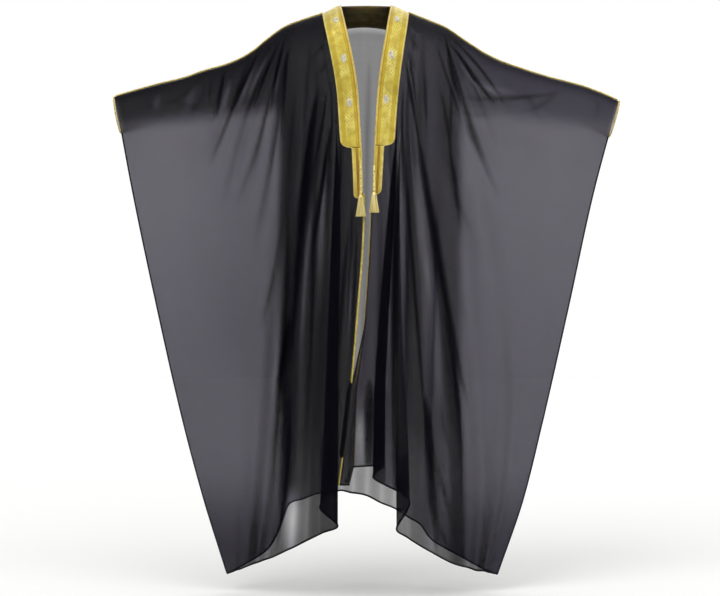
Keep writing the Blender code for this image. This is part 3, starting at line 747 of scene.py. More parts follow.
@dataclass(frozen=True)
class MetalThread:
    """Metal-wrapped or silk thread, twisted or laid: fine grain and a soft gloss."""

    name: str
    colour: str
    shade: str
    metallic: float = 0.6
    roughness: float = 0.38
    sheen: float = 0.1
    drawn_out: float = 1.0  # 1 on wound thread, less where it hangs straight
    tones: float = 190.0  # a metre: the tone changes every 5 mm of cord
    grains: float = 1400.0  # a metre: wraps are 0.2 mm, drawn at 0.7 mm to show

    def make(self) -> Finish:
        """The material, with its tone and gloss uneven from thread to thread."""
        made, tree = new_material(self.name, {
            "Metallic": self.metallic, "Specular IOR Level": 0.5, "Sheen Weight": self.sheen,
            "Sheen Roughness": 0.4})
        drawn = add(tree, "Mapping", {"Vector": add(tree, "TexCoord", output="Object"),
                                      "Scale": (1, 1, self.drawn_out)})
        tone, grain = (
            add(tree, "TexNoise", {"Vector": drawn, "Scale": scale, "Detail": detail}, "Fac")
            for scale, detail in ((self.tones, 3.0), (self.grains, 1.0)))
        tint(tree, tone, (0.35, 0.68, 0.0, 1.0), (linear(self.colour), linear(self.shade)))
        add(tree, "MapRange", (tone, 0.3, 0.7, self.roughness - 0.06, self.roughness + 0.12),
            feeds="Roughness")
        add(tree, "Bump", {"Height": grain, "Strength": 0.5, "Distance": 0.2 * MM},
            feeds="Normal")
        return made


@dataclass(frozen=True)
class StudioPaper:
    """Matt background paper, very pale and even."""

    colour: str = "#C5C5C4"
    mottle: str = "#BBBBBB"
    clouds: float = 3.0  # a metre

    def make(self) -> Finish:
        """The material, with the faint mottle of paper."""
        made, tree = new_material("matt studio paper", {"Roughness": 0.95,
                                                        "Specular IOR Level": 0.1})
        own = add(tree, "TexCoord", output="Object")
        tone = add(tree, "TexNoise", {"Vector": own, "Scale": self.clouds, "Detail": 2.0}, "Fac")
        tint(tree, tone, (0.3, 0.7, 0.0, 0.02), (linear(self.colour), linear(self.mottle)))
        return made


# Stripes of each band, from its inner edge out: the gilt lines stand up, the strips lie lower
WIDE_BROCADE = ZariBrocade("gold zari brocade, wide", (
    Zone("inner_line", 3.5, 0.5, "#C0AC5C"), Zone("inner_shade", 7.0, -0.1, "#967412"),
    Zone("inner_strip", 13.0, 0.0, "#A08B1E"), Zone("centre", 34.0, 0.4, "#A8962E"),
    Zone("outer_strip", 43.5, 0.0, "#A08D24"), Zone("outer_line", 48.0, 0.5, "#C4B468")), "centre")
NARROW_BROCADE = ZariBrocade("gold zari brocade, narrow", (
    Zone("inner_ground", 9.5, 0.2, "#B09C3A"), Zone("recess", 17.5, -0.1, "#7A5A0C"),
    Zone("outer_ground", 23.0, 0.2, "#AE9A3C"), Zone("outer_line", 27.0, 0.5, "#BCAC64")))
# Gilt thread has a warm glint, silver a cooler one; silk is paler and softer than either
GOLD_BRAID = MetalThread("gold zari braid", "#CCB95E", "#8E7A26")
LIGHT_BRAID = MetalThread("light gold edging", "#C6B870", "#A08E42", roughness=0.42)
SILVER_THREAD = MetalThread("silver zari thread", "#BEBAAA", "#8E8874", roughness=0.36)
# The tie's mottle from pale to dark gold is partly the silk's uneven tone, partly painted
# highlights on the plies and painted shade between them
TIE_SILK = MetalThread("gold silk twist", "#E6D890", "#8C7420", metallic=0.35, roughness=0.42)
TASSEL_SILK = MetalThread("gold silk tassel", "#D8CB86", "#AC984E", metallic=0.2,
                          roughness=0.48, sheen=0.3, drawn_out=0.06)


# ---- objects
def place(name: str, mesh: Mesh, finish: Finish, slot: Slot, stands_for: Sequence[str] = (),
          wall: float = 0.0) -> Piece:
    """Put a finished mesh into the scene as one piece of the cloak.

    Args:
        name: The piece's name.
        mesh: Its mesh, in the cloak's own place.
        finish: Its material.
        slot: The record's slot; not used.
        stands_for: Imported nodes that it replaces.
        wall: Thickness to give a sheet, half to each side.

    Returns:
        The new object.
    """
    mesh.name = name
    mesh.materials.clear()
    mesh.materials.append(finish)
    mesh.shade_smooth()
    piece = bpy.data.objects.new(name, mesh)
    bpy.context.scene.collection.objects.link(piece)
    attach(piece, "root")
    if stands_for:
        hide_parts(*stands_for)
    LOG.info("%s: %d faces", name, len(mesh.polygons))
    if wall:
        solid = piece.modifiers.new("Wall", "SOLIDIFY")
        solid.thickness, solid.offset = wall, 0
    return piece


def closed_mesh(bm: bmesh.types.BMesh) -> Mesh:
    """The mesh of a finished bmesh, which is freed."""
    mesh = bpy.data.meshes.new("piece")
    bm.to_mesh(mesh)
    bm.free()
    return mesh


def grid_mesh(points: Array, flat: Array, out: Sequence[float], **density: Array) -> Mesh:
    """A flat cut whose crossings are moved to their draped places, facing the way out points.

    Args:
        points: Draped places, rows by columns by three.
        flat: The same crossings' places on the flat cut, in metres, kept as the UV map.
        out: Roughly the way that its outside faces.
        **density: Numbers to keep for each crossing, under each name.

    Returns:
        The mesh.
    """
    rows_down, columns = points.shape[:2]
    bm = bmesh.new()
    bmesh.ops.create_grid(bm, x_segments=columns - 1, y_segments=rows_down - 1, size=1)
    for vert, point in zip(bm.verts, points.reshape(-1, 3)):
        vert.co = point
    bm.normal_update()
    if sum((face.normal * face.calc_area() for face in bm.faces), Vector()).dot(Vector(out)) < 0:
        bmesh.ops.reverse_faces(bm, faces=bm.faces)
    layer = bm.loops.layers.uv.new("flat_cut")
    bm.verts.index_update()
    cut = flat.reshape(-1, 2)
    for face in bm.faces:
        for loop in face.loops:
            loop[layer].uv = cut[loop.vert.index]
    mesh = closed_mesh(bm)
    for name, values in density.items():
        mesh.attributes.new(name, "FLOAT", "POINT").data.foreach_set("value", values.ravel())
    return mesh


def tube_mesh(lines: Sequence[Array], radius: float, closed: bool = False,
              resolution: int = 1) -> Mesh:
    """Round threads through the points of each line.

    Args:
        lines: Points of each thread.
        radius: Their radius.
        closed: Whether each thread's end meets its start.
        resolution: How round the threads are.

    Returns:
        One mesh of them all.
    """
    curve = bpy.data.curves.new("thread", "CURVE")
    curve.dimensions, curve.use_fill_caps = "3D", True
    curve.bevel_depth, curve.bevel_resolution = radius, resolution
    for points in lines:
        spline = curve.splines.new("POLY")
        spline.points.add(len(points) - 1)
        spline.points.foreach_set("co", np.c_[points, np.ones(len(points))].ravel())
        spline.use_cyclic_u = closed
    carrier = bpy.data.objects.new("thread", curve)
    mesh = bpy.data.meshes.new_from_object(carrier)
    bpy.data.objects.remove(carrier)
    bpy.data.curves.remove(curve)
    return mesh


@dataclass
class Twist:
    """A cord of two plies twisted round a line."""

    line: Array
    radius: float  # from the line to each ply's middle
    pitch: float  # length of one full turn
    ply: float  # radius of each ply
    never_along: Triple = (0, 1, 0)  # a way that the line never runs
    closed: bool = False
    points_per_turn: int = 8

    @classmethod
    def couched(cls, line: Array, cord: float, pitch: float, swell: float = 1.1,
                **more) -> "Twist":
        """A sewn cord of this radius, whose plies swell a little into each other."""
        return cls(line, cord / 2, pitch, cord / 2 * swell, **more)

    def even(self) -> Array:
        """Points along the line, as far apart as the turns need."""
        points = np.vstack([self.line, self.line[:1]]) if self.closed else self.line
        along = travelled(points)
        count = max(2, round(along[-1] / (self.pitch / self.points_per_turn))) + 1
        at = np.linspace(0, along[-1], count)[:-1 if self.closed else None]
        return np.stack([np.interp(at, along, points[:, k]) for k in range(3)], -1)

    def mesh(self, resolution: int = 1) -> Mesh:
        """Both plies, this round."""
        line = self.even()
        if self.closed:
            along = unit(np.roll(line, -1, 0) - np.roll(line, 1, 0))
        else:
            along = unit(np.gradient(line, axis=0))
        square = np.asarray(self.never_along, float)
        up = unit(square - along * (along @ square)[:, None])
        side = np.cross(along, up)
        turns = len(line) / self.points_per_turn
        turns = round(turns) if self.closed else turns
        angle = 2 * math.pi * turns * np.arange(len(line)) / len(line)
        plies = [line + self.radius * (np.cos(angle + phase)[:, None] * up
                                       + np.sin(angle + phase)[:, None] * side)
                 for phase in (0.0, math.pi)]
        return tube_mesh(plies, self.ply, self.closed, resolution)


# ---- the cloth
@dataclass
class WornForm:
    """The smooth shape that the worn cloak takes: shoulders, arms, body and hanging wings."""

    top_half_gap: float = 0.5 * MM
    side_half_gap: float = 0.95 * MM
    cuff_depth: float = 0.075  # share of the way down that the open cuff takes
    cuff_half_thick: float = 36 * MM
    hang_half_gap: float = 15 * MM
    sleeve_half_thick: Pair = (62 * MM, 44 * MM)
    sleeve_reach: Pair = (200 * MM, 650 * MM)
    sleeve_drop: Pair = (60 * MM, 270 * MM)
    shoulder_round: Pair = (85 * MM, 46 * MM)
    side_closing: float = 110 * MM
    bulge_power: float = 1.5
    blend_power: float = 4
    neck_half_width: float = 67 * MM
    neck_centre: float = 2 * MM
    neck_back: float = 70 * MM
    neck_rise: float = 12 * MM

    def neck_curve(self, x: Array) -> Array:
        """Share of the neck's depth behind the shoulder line at x."""
        return np.sqrt(np.maximum(0.0, 1 - ((x - self.neck_centre) / self.neck_half_width) ** 2))

    def section(self, name: str, z: Array) -> Array:
        """One column of the body's level sections at these heights."""
        return monotone([s.z * MM for s in SECTIONS], [getattr(s, name) * MM for s in SECTIONS], z)

    def depth(self, face: Face, x: Array, z: Array, seam_z: Array, side_distance: Array,
              down: Array, neck_depth: Array) -> Array:
        """Distance from the cloak's middle plane to the smooth sheet.

        Args:
            face: Front or back.
            x: Places across.
            z: Their heights.
            seam_z: Height of the seam over each.
            side_distance: Distance from each to the nearest side seam.
            down: Share of the way from seam to hem.
            neck_depth: How far behind the middle plane the top edge lies.

        Returns:
            The distances.
        """
        below = seam_z - z
        along_arm = ease(np.abs(x), *self.sleeve_reach)
        sleeve = blend(self.sleeve_half_thick, along_arm)
        hang = sleeve + (self.hang_half_gap - sleeve) * ease(below, *self.sleeve_drop)
        reach = np.minimum(1.0, np.abs(x) / self.section("reach", z))
        body = self.section(face.name.lower(), z) * (1 - reach ** 2) ** self.bulge_power
        share = np.clip(below / blend(self.shoulder_round, along_arm), 0.0, 1.0)
        over_top = np.sqrt(1 - (1 - share) ** 2)
        closed = np.sin(math.pi / 2 * np.minimum(1.0, side_distance / self.side_closing))
        middle = self.cuff_depth / 2
        cuff = self.cuff_half_thick * np.sqrt(np.maximum(0, 1 - ((down - middle) / middle) ** 2))
        smooth = over_top * (hang + body) * closed + cuff * (1 - closed)
        gap = blend((self.top_half_gap, self.side_half_gap), ease(down, 0.0, self.cuff_depth))
        power = self.blend_power
        return gap + (neck_depth ** power + smooth ** power) ** (1 / power)


@dataclass
class ClothPanel:
    """One cut piece of voile, draped over the worn form with its folds and soft creases."""

    name: str
    face: Face
    folds: list[Fold]
    creases: list[Crease]
    flat: Pair
    body_gathers: float  # layers added over the body: small gathers, and painted shade
    arm_gathers: float  # layers added over the arms, as painted shade
    inner_wing: float  # layers that the wings' cloth adds near the body
    low_gathers: float = 0.75  # share of the body's gathers and painted shade that reaches the hem
    wing_gathers: float = 0.4  # layers that the narrowing hem adds to the wings
    pressed: tuple[Pair, ...] = ((0.0, 2.1),)  # first column, each sheet's layers
    column_width: float = 3.9 * MM
    column_limits: tuple[int, int] = (6, 22)
    rows_above: int = 84  # of the shoulders and sleeves, where creases lie across
    rows_below: int = 100
    change: float = 0.30  # share of the way down at which the rows widen
    wide_foot: Pair = (0.305, 0.33)  # shares down over which each band ends
    narrow_foot: Pair = (0.42, 0.45)
    crease_pieces: int = 10  # straight pieces that a crease's bent line is read as
    crease_bias: float = 0.8  # below 1, a crease is deepest a little above its middle
    crease_fade: float = 0.9
    body_centre: float = 0.015  # of the gathers and painted shade over the body, and where they end to each side
    body_side: Pair = (0.218, 0.252)
    body_low: Pair = (1.0, 1.3)  # drops over which they thin out towards the hem
    arm_drop: Pair = (0.195, 0.25)  # drops over which the arms' painted shade ends
    arm_slope: float = 0.12  # how much lower that is for each metre out
    arm_light: float = 0.35  # share of the arms' painted shade taken away under the seam
    arm_light_drop: Pair = (0.03, 0.16)
    wing_side: Pair = (0.15, 0.25)  # where the wings start
    inner_side: Pair = (0.28, 0.56)  # where the wings' inner part ends
    inner_drop: Pair = (0.8, 1.1)
    wing_layers: float = 0.20  # that the wings gain on their way down
    wing_drop: Pair = (0.3, 1.3)
    narrowing: Pair = (1.19, 1.44)  # drops over which the hem draws the wings in
    steepest: float = 2.2  # layers that the light passes at most where the cloth turns away
    steep_power: float = 0.4
    free_pinch: float = 0.6  # share of a crease's layers, its fold's and its painted shade, left away from the gathers
    shade_from: float = 1.1  # layers at which the painted shade starts, and the span to full
    shade_span: float = 0.9
    fewest: float = 0.75  # layers
    seam_flat: float = 0.03  # share of the way down that the shoulder seam holds flat
    hem_layers: float = 0.6  # that a pressed fold gains near the hem, and over which drops
    hem_drop: Pair = (1.1, 1.25)
    neck_light: float = 0.4  # share of its layers that the back loses under the neck band
    neck_depth: Pair = (0.04, 0.055)
    neck_side: Pair = (0.07, 0.1)
    hem_at: float = 0.9985  # share down of the rolled hem's middle
    wall: float = 0.6 * MM
    hem_radius: float = 2.5 * MM
    form: WornForm = field(default_factory=WornForm)

    def __post_init__(self) -> None:
        """Turn the fold table into curves' values."""
        self.fold_x = np.array([fold[1:7] for fold in self.folds]) * MM
        self.fold_lift = np.array([[0.0, fold.waist_lift * CHEST_LIFT_SHARE, fold.waist_lift,
                                    fold.hem_lift] for fold in self.folds]) * MM
        self.fold_hem = np.array([fold.hem_z for fold in self.folds]) * MM
        self.ends = [i for i, fold in enumerate(self.folds) if fold.name.startswith("side")]
        self.last = len(self.folds) - 1

    @property
    def word(self) -> str:
        """The panel's name without the cloth."""
        return self.name.replace("cloth_", "")

    def index_of(self, name: str) -> int:
        """Column of the fold line of this name."""
        return [fold.name for fold in self.folds].index(name)

    def columns(self) -> Array:
        """Columns of the mesh, closer where the folds are."""
        widest = np.abs(np.diff(self.fold_x, axis=0)).max(axis=1)
        counts = np.clip(np.ceil(widest / self.column_width), *self.column_limits).astype(int)
        steps = [i + np.arange(n) / n for i, n in enumerate(counts)]
        return np.r_[np.concatenate(steps), self.last]

    def between(self, values: Array, u: Array) -> Array:
        """The fold lines' values, read smoothly between them at the columns u."""
        return monotone(np.arange(len(self.folds)), values, np.asarray(u, float))

    def smooth(self, u: Array, v: Array) -> Array:
        """Draped places without creases.

        Args:
            u: Columns, in folds from the first.
            v: Shares of the way down.

        Returns:
            The points.
        """
        shape = np.broadcast_shapes(np.shape(u), np.shape(v))
        u, v = (np.broadcast_to(part, shape).ravel().astype(float) for part in (u, v))
        down = np.broadcast_to(v, (len(self.folds), len(v)))
        lines_x = monotone(LEVELS, self.fold_x, down).T
        lines_lift = monotone(LIFT_LEVELS, self.fold_lift, down).T
        x, lift = (self.between(lines, u[:, None])[:, 0] for lines in (lines_x, lines_lift))
        seam_x = self.between(self.fold_x[:, 0], u)
        hem_z = self.between(self.fold_hem, u)
        neck = self.form.neck_curve(seam_x) if self.face is Face.BACK else np.zeros(len(u))
        seam_z = shoulder_z(seam_x) + self.form.neck_rise * neck
        z = seam_z + v * (hem_z - seam_z)
        side = np.min([np.abs(lines_x[:, end] - x) for end in self.ends], axis=0)
        depth = self.form.depth(self.face, x, z, seam_z, side, v, self.form.neck_back * neck)
        return joined(x, self.face.value * (depth + lift), z).reshape(*shape, 3)

    def share_down(self, u: Array, z: float) -> Array:
        """Share of the way down at which each column reaches height z."""
        seam_z = shoulder_z(self.between(self.fold_x[:, 0], u))
        return (seam_z - z) / (seam_z - self.between(self.fold_hem, u))

    def bare(self, u: Array, v: Array) -> Array:
        """0 where a band or seam holds the cloth flat, 1 where it is free to crease."""
        free = ease(v, 0.0, self.seam_flat)
        start, fade = 0.0, 0.5
        if self.face is Face.FRONT:
            start, fade = 2.0 - ease(v, *self.wide_foot) - ease(v, *self.narrow_foot), 0.6
        return free * ease(u - start, 0.0, fade) * (1 - ease(u, self.last - 0.5, self.last))

    def crease_field(self, x: Array, z: Array) -> tuple[Array, Array]:
        """Height of the soft creases, and the layers they add: pinched folds, painted shade and
        highlights.

        Args:
            x: Places across.
            z: Their heights.

        Returns:
            Heights over the smooth sheet, and added layers, partly painted shade and highlight.
        """
        height, doubled_and_painted = np.zeros_like(x), np.zeros_like(x)
        t = np.linspace(0, 1, self.crease_pieces + 1)[:, None]
        for crease in self.creases:
            top, middle, low = np.reshape(crease[:6], (3, 2)) * MM
            bend = 2 * middle - (top + low) / 2
            line = (1 - t) ** 2 * top + 2 * t * (1 - t) * bend + t ** 2 * low
            nearest, share = np.full(x.shape, np.inf), np.zeros_like(x)
            for i, (a, b) in enumerate(zip(line, line[1:])):
                run = b - a
                part = np.clip(((x - a[0]) * run[0] + (z - a[1]) * run[1]) / (run @ run), 0, 1)
                off = np.hypot(x - a[0] - part * run[0], z - a[1] - part * run[1])
                closer = off < nearest
                nearest = np.where(closer, off, nearest)
                share = np.where(closer, (i + part) / self.crease_pieces, share)
            along = np.sin(math.pi * share ** self.crease_bias)
            width = crease.width * MM * (0.6 + 0.6 * along)
            shape = along ** self.crease_fade * np.exp(-(nearest / width) ** 2)
            height += crease.depth * MM * shape
            doubled_and_painted += crease.doubled_and_painted * shape
        return height, doubled_and_painted

    def waver(self, x: Array, z: Array) -> Array:
        """The slow unevenness of cloth that hangs free: three waves, 0.1 to 0.3 m long."""
        phase = 1.7 * self.face.value
        return MM * (1.3 * np.sin(31 * x + 9 * z + phase) + 0.9 * np.sin(17 * z - 22 * x - phase)
                     + 0.6 * np.sin(58 * x + 23 * z))

    def gathers_and_shade(self, x: Array, z: Array) -> tuple[Array, Array]:
        """Where the cloth gathers over the body and where shade is painted over it and the arms, as
        two shares.
        """
        low = 1 - (1 - self.low_gathers) * ease(-z, *self.body_low)
        body = (1 - ease(np.abs(x - self.body_centre), *self.body_side)) * low
        arm = 1 - ease(-z - self.arm_slope * np.abs(x), *self.arm_drop)
        light = self.arm_light * ease(shoulder_z(x) - z, *self.arm_light_drop)
        return body, arm * (1 - light) * (1 - body)

    def fullness(self, x: Array, z: Array) -> Array:
        """Layers of cloth that the small gathers and the narrowing hem lay on one another, and
        painted shade.
        """
        body, arm = self.gathers_and_shade(x, z)
        inner = (1 - ease(np.abs(x), *self.inner_side)) * (1 - ease(-z, *self.inner_drop))
        # painted shade: the extra layers over the body and arms darken them
        return (1 + self.body_gathers * body + self.arm_gathers * arm
                + ease(np.abs(x), *self.wing_side)
                * (self.inner_wing * inner + self.wing_layers * ease(-z, *self.wing_drop)
                   + self.wing_gathers * ease(-z, *self.narrowing)))

    def stacked(self, x: Array) -> Array:
        """Where the cloth laps over itself in a pressed fold, from the rows' places across."""
        low, high = np.minimum(x[:, :-1], x[:, 1:]), np.maximum(x[:, :-1], x[:, 1:])
        here = x[:, :, None]
        return ((low[:, None, :] <= here) & (here < high[:, None, :])).sum(-1) >= 3

    def drape(self) -> Mesh:
        """The whole panel, creased, with its layers and its painted shade."""
        v = np.r_[np.linspace(0, self.change, self.rows_above)[:-1],
                  np.linspace(self.change, 1, self.rows_below)][:, None]
        u = self.columns()[None, :]
        points = self.smooth(u, v)
        x, z = points[..., 0], points[..., 2]
        height, doubled_and_painted = self.crease_field(x, z)
        bare = self.bare(u, v)
        points[..., 1] += self.face.value * bare * (height + self.waver(x, z))
        facing = np.maximum(np.abs(normals(points)[..., 1]), 1e-3)
        aslant = np.clip(1 / facing, 1.0, self.steepest) ** self.steep_power
        body, arm = self.gathers_and_shade(x, z)
        # the creases' layers: their folds' own and painted shade, painted highlight where below 0
        pinched_and_painted = doubled_and_painted * (self.free_pinch + (1 - self.free_pinch) * np.minimum(1.0, body + arm))
        layers = self.fullness(x, z) * aslant + bare * pinched_and_painted
        stacked = self.stacked(x)
        # painted shade: a darker colour where layers gather and over the body, full in pressed
        # folds
        shade_share = np.clip((layers - self.shade_from) / self.shade_span, 0.5 * body, 1.0)
        shade_share = np.where(stacked, 1.0, shade_share)
        for start, each in self.pressed:
            sheets = each + 0.5 * bare * pinched_and_painted + self.hem_layers * ease(-z, *self.hem_drop)
            layers = np.where(stacked & (u > start), sheets, layers)
        if self.face is Face.BACK:  # held flat under the neck band
            under = (1 - ease(v, *self.neck_depth)) * (1 - ease(np.abs(x), *self.neck_side))
            layers = layers * (1 - self.neck_light * under)
        layers = np.maximum(layers, self.fewest)
        along = travelled(points[len(v) // 2])
        flat = joined(along / along[-1] * self.flat[0], v * self.flat[1])
        return grid_mesh(points, flat, (0, self.face.value, 0), layers=layers, closeness=shade_share)

    def build(self, cloth: Finish, hem: Finish, stands_for: str,
              trims: Sequence[Piece] = ()) -> Piece:
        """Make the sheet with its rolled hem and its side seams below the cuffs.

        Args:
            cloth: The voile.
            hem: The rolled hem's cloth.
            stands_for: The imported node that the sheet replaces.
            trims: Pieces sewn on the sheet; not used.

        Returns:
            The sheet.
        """
        sheet = place(self.name, self.drape(), cloth, Slot.CLOTH, [stands_for], self.wall)
        seam_v = np.linspace(self.form.cuff_depth, self.hem_at, 90)
        sewn = [place(f"{kind}_{self.word}", tube_mesh(lines, radius), hem, Slot.CLOTH)
                for kind, lines, radius in (
                    ("hem", [self.smooth(self.columns(), self.hem_at)], self.hem_radius),
                    ("side_seam", [self.smooth(end, seam_v) for end in self.ends],
                     self.hem_radius * 0.8))]
        width, length = self.flat
        return sheet


@dataclass
class TurnedEdge:
    """The lower end of one front edge, rolled under itself and behind the other front's edge."""

    near: ClothPanel  # the front that rolls under
    far: ClothPanel
    top: float = -0.80
    closed: float = -0.965  # height at which it reaches the other edge
    apart: float = -1.15  # height under which it leaves the other edge's cord
    foot: float = -1.236
    overlap: float = 5 * MM
    covers: float = 12 * MM  # how far it laps over the other edge's cord
    behind: float = 5 * MM
    least_reach: float = 0.12  # share of the way across at its top
    reach_power: float = 1.3
    slant: float = 0.25  # how far it moves in for each metre under the near front's hem
    forward: float = 3.2  # times `behind` that it comes forward to lap over the cord
    forward_across: Pair = (0.25, 0.65)  # shares of the way across over which it does
    ripple: float = 1.5 * MM
    layers: float = 2.3

    def edge(self, panel: ClothPanel, z: Array) -> Array:
        """Points of a panel's front edge at these heights."""
        return panel.smooth(0, np.clip(panel.share_down(0, z), 0, 1))

    def build(self, cloth: Finish, hem: Finish) -> list[Piece]:
        """Make the rolled part and its short hem, of the voile and the hem's cloth."""
        z = np.linspace(self.top, self.foot, 72)[:, None]
        s = np.linspace(0, 1, 15)[None, :]
        near, far = self.edge(self.near, z[:, 0]), self.edge(self.far, z[:, 0])
        past_hem = np.maximum(0.0, near[:, 2] - z[:, 0])[:, None]
        start = near[:, :1] + self.overlap - self.slant * past_hem
        over = ease(self.closed - z, -0.02, 0.03) * (1 - ease(self.apart - z, 0.0, 0.03))
        reach = self.least_reach + (1 - self.least_reach) * np.clip(
            (self.top - z) / (self.top - self.closed), 0, 1) ** self.reach_power
        x = start - s * reach * (start - far[:, :1] - self.overlap + self.covers * over)
        depth = near[:, 1:2] * (1 - s) + far[:, 1:2] * s
        y = (depth + self.behind * (1 - self.forward * over * ease(s, *self.forward_across))
             + self.ripple * np.sin(7 * s + 9 * z))
        points = joined(x, y, z)
        layers = self.layers + 0.5 * np.sin(9 * s + 6 * z) + 0.2 * np.sin(23 * s)
        # painted shade: the whole roll takes the dark colour
        mesh = grid_mesh(points, joined(x - x.min(), z - self.foot), (0, -1, 0), layers=layers,
                         closeness=np.ones(layers.shape))
        word = self.near.word
        return [place(f"edge_roll_{word}", mesh, cloth, Slot.CLOTH, wall=self.near.wall),
                place(f"edge_roll_hem_{word}", tube_mesh([points[-1]], self.near.hem_radius * 0.9),
                      hem, Slot.CLOTH)]


# ---- bands, cords and tassels
CLEAR = 1.35 * MM  # from the cloth's middle to a band's
BAND_WALL = 0.9 * MM
NARROW_START = 0.29  # share down at which the narrow bands start
FRONT_DROP = 1.28  # height of the fronts


def couch(kind: str, side: Side, cord: Twist, finish: Finish) -> Piece:
    """Sew a gold cord on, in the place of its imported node.

    Args:
        kind: Where it runs, as its names say.
        side: The wearer's side.
        cord: Its twist.
        finish: Its material.

    Returns:
        The cord.
    """
    return place(f"{kind}_braid_{side.word}", cord.mesh(), finish, Slot.CORD,
                 [f"{kind}_cord_{side.word}"])


@dataclass
class FrontTrim:
    """Gold band, edging, motifs and edge cord of one front."""

    side: Side
    panel: ClothPanel
    band_foot: float  # height of the wide band's level lower edge
    tip: float  # share of the way down of the narrow band's tip
    motifs: Triple  # heights of the motifs' middles
    rolled_under: float  # share of the cord that the front edge rolls over
    corner_radius: float = 24 * MM
    narrow_side: float = 0.52  # share across the wide band at which the narrow one's edge meets it
    tip_length: float = 0.62  # of the narrow band's width
    edging_radius: float = 1.3 * MM
    edging_pitch: float = 6 * MM
    edging_proud: float = 0.75  # share of its radius by which it stands over the band
    edge_radius: float = 3.0 * MM
    edge_pitch: float = 9 * MM
    motif_across: float = 22.5 * MM
    motif_size: Pair = (7.2 * MM, 11.5 * MM)
    motif_steps: tuple[Pair, ...] = (  # width and rise of its rim, groove and field, millimetres
        (0.9, 0.25), (0.7, -0.45), (0.5, 0.1))
    petals: int = 8
    petal: Triple = (0.2, 0.1, 0.55)  # shares of its half size, and millimetres up
    petal_out: float = 0.42
    boss: Triple = (0.17, 0.17, 0.9)

    def frame_at(self, u: Array, v: Array) -> tuple[Array, Array, Array, Array]:
        """Points of the panel with the directions across, down and out of it.

        Args:
            u: Columns.
            v: Shares of the way down.

        Returns:
            Points, and unit vectors across, down and out.
        """
        step = 1e-4
        smooth = self.panel.smooth
        across = unit(smooth(u + step, v) - smooth(u - step, v))
        down = unit(smooth(u, v + step) - smooth(u, v - step))
        return smooth(u, v), across, down, unit(np.cross(down, across)) * self.side.value

    def band_length(self) -> float:
        """Length of the wide band."""
        return shoulder_z(self.panel.fold_x[1, 0]) - self.band_foot

    def spot(self, s: Array, t: Array, wide: bool) -> tuple[Array, Array]:
        """Column and share down of the place s across and t down the wide or narrow band."""
        u = (2.0 if wide else 1.0) * s
        foot = self.panel.share_down(u, self.band_foot)
        return u, t * foot if wide else foot + t * (self.tip - foot)

    def wide_reach(self, t: Array) -> Array:
        """How far across the wide band reaches at t, rounded at its lower corner."""
        left = np.clip((1 - t) * self.band_length() / self.corner_radius, 0.0, 1.0)
        lost = self.corner_radius / WIDE_BROCADE.width
        return 1 - lost * (1 - np.sqrt(1 - (1 - left) ** 2))

    def narrow_reach(self, t: Array) -> tuple[Array, Array]:
        """Inner and outer limit of the narrow band at t, rounded to a tip."""
        length = (self.tip - self.panel.share_down(0.5, self.band_foot)) * FRONT_DROP
        left = np.clip((1 - t) * length / (NARROW_BROCADE.width * self.tip_length), 0.0, 1.0)
        half = 0.5 * np.sqrt(1 - (1 - left) ** 2)
        return 0.5 - half, 0.5 + half

    def bands(self, finishes: Sequence[Finish]) -> list[Piece]:
        """The wide band from the shoulder to the chest and the narrow one under it.

        Args:
            finishes: Brocade of the wide band and of the narrow one.

        Returns:
            Both bands.
        """
        quarter = math.pi / 2  # rows close up like a cosine round the corner and the tip
        wide_t = np.r_[np.linspace(0, 0.92, 60)[:-1],
                       1 - 0.08 * np.cos(np.linspace(0, quarter, 16))][:, None]
        wide_s = np.linspace(0, 1, 49) * self.wide_reach(wide_t)
        narrow_t = np.r_[0.006, np.linspace(0.03, 0.8, 24),
                         1 - 0.2 * np.cos(np.linspace(0.1, quarter - 0.06, 14))][:, None]
        low, high = self.narrow_reach(narrow_t)
        narrow_s = low + np.linspace(0, 1, 28) * (high - low)
        made = []
        for kind, brocade, finish, s, t, length in (
                ("wide", WIDE_BROCADE, finishes[0], wide_s, wide_t, self.band_length()),
                ("narrow", NARROW_BROCADE, finishes[1], narrow_s, narrow_t,
                 (self.tip - NARROW_START) * FRONT_DROP)):
            here, _, _, out = self.frame_at(*self.spot(s, t, kind == "wide"))
            across = s * brocade.width
            points = here + out * (CLEAR + brocade.height_at(across))[..., None]
            mesh = grid_mesh(points, joined(across, t * length), (0, -1, 0))
            made.append(place(f"zari_band_{kind}_{self.side.word}", mesh, finish, Slot.BAND,
                              [f"{kind}_band_{self.side.word}"], BAND_WALL))
        return made

    def outline(self) -> Array:
        """Columns and shares down of the line round both bands, from the shoulder and back."""
        t = 1 - (1 - np.linspace(0.0, 1.0, 160)) ** 1.6
        corner = np.linspace(self.wide_reach(1.0), self.narrow_side, 12)[1:-1]
        low_t = 1 - (1 - np.linspace(0.02, 0.995, 60)) ** 1.5
        low, high = self.narrow_reach(low_t)
        rise = np.linspace(1.0, 0.0, 90)
        stretches = ((self.wide_reach(t), t, True), (corner, np.ones(corner.shape), True),
                     (high, low_t, False), (low[::-1], low_t[::-1], False),
                     (np.zeros(rise.shape), rise, True))
        return np.vstack([np.stack(self.spot(*stretch), -1) for stretch in stretches])

    def edging(self, finish: Finish) -> Piece:
        """The light cord couched round the outline of the bands."""
        here, _, _, out = self.frame_at(*self.outline().T)
        line = here + out * (CLEAR + self.edging_radius * self.edging_proud)
        cord = Twist.couched(line, self.edging_radius, self.edging_pitch, 1.05, points_per_turn=7)
        return place(f"band_edging_{self.side.word}", cord.mesh(), finish, Slot.BAND)

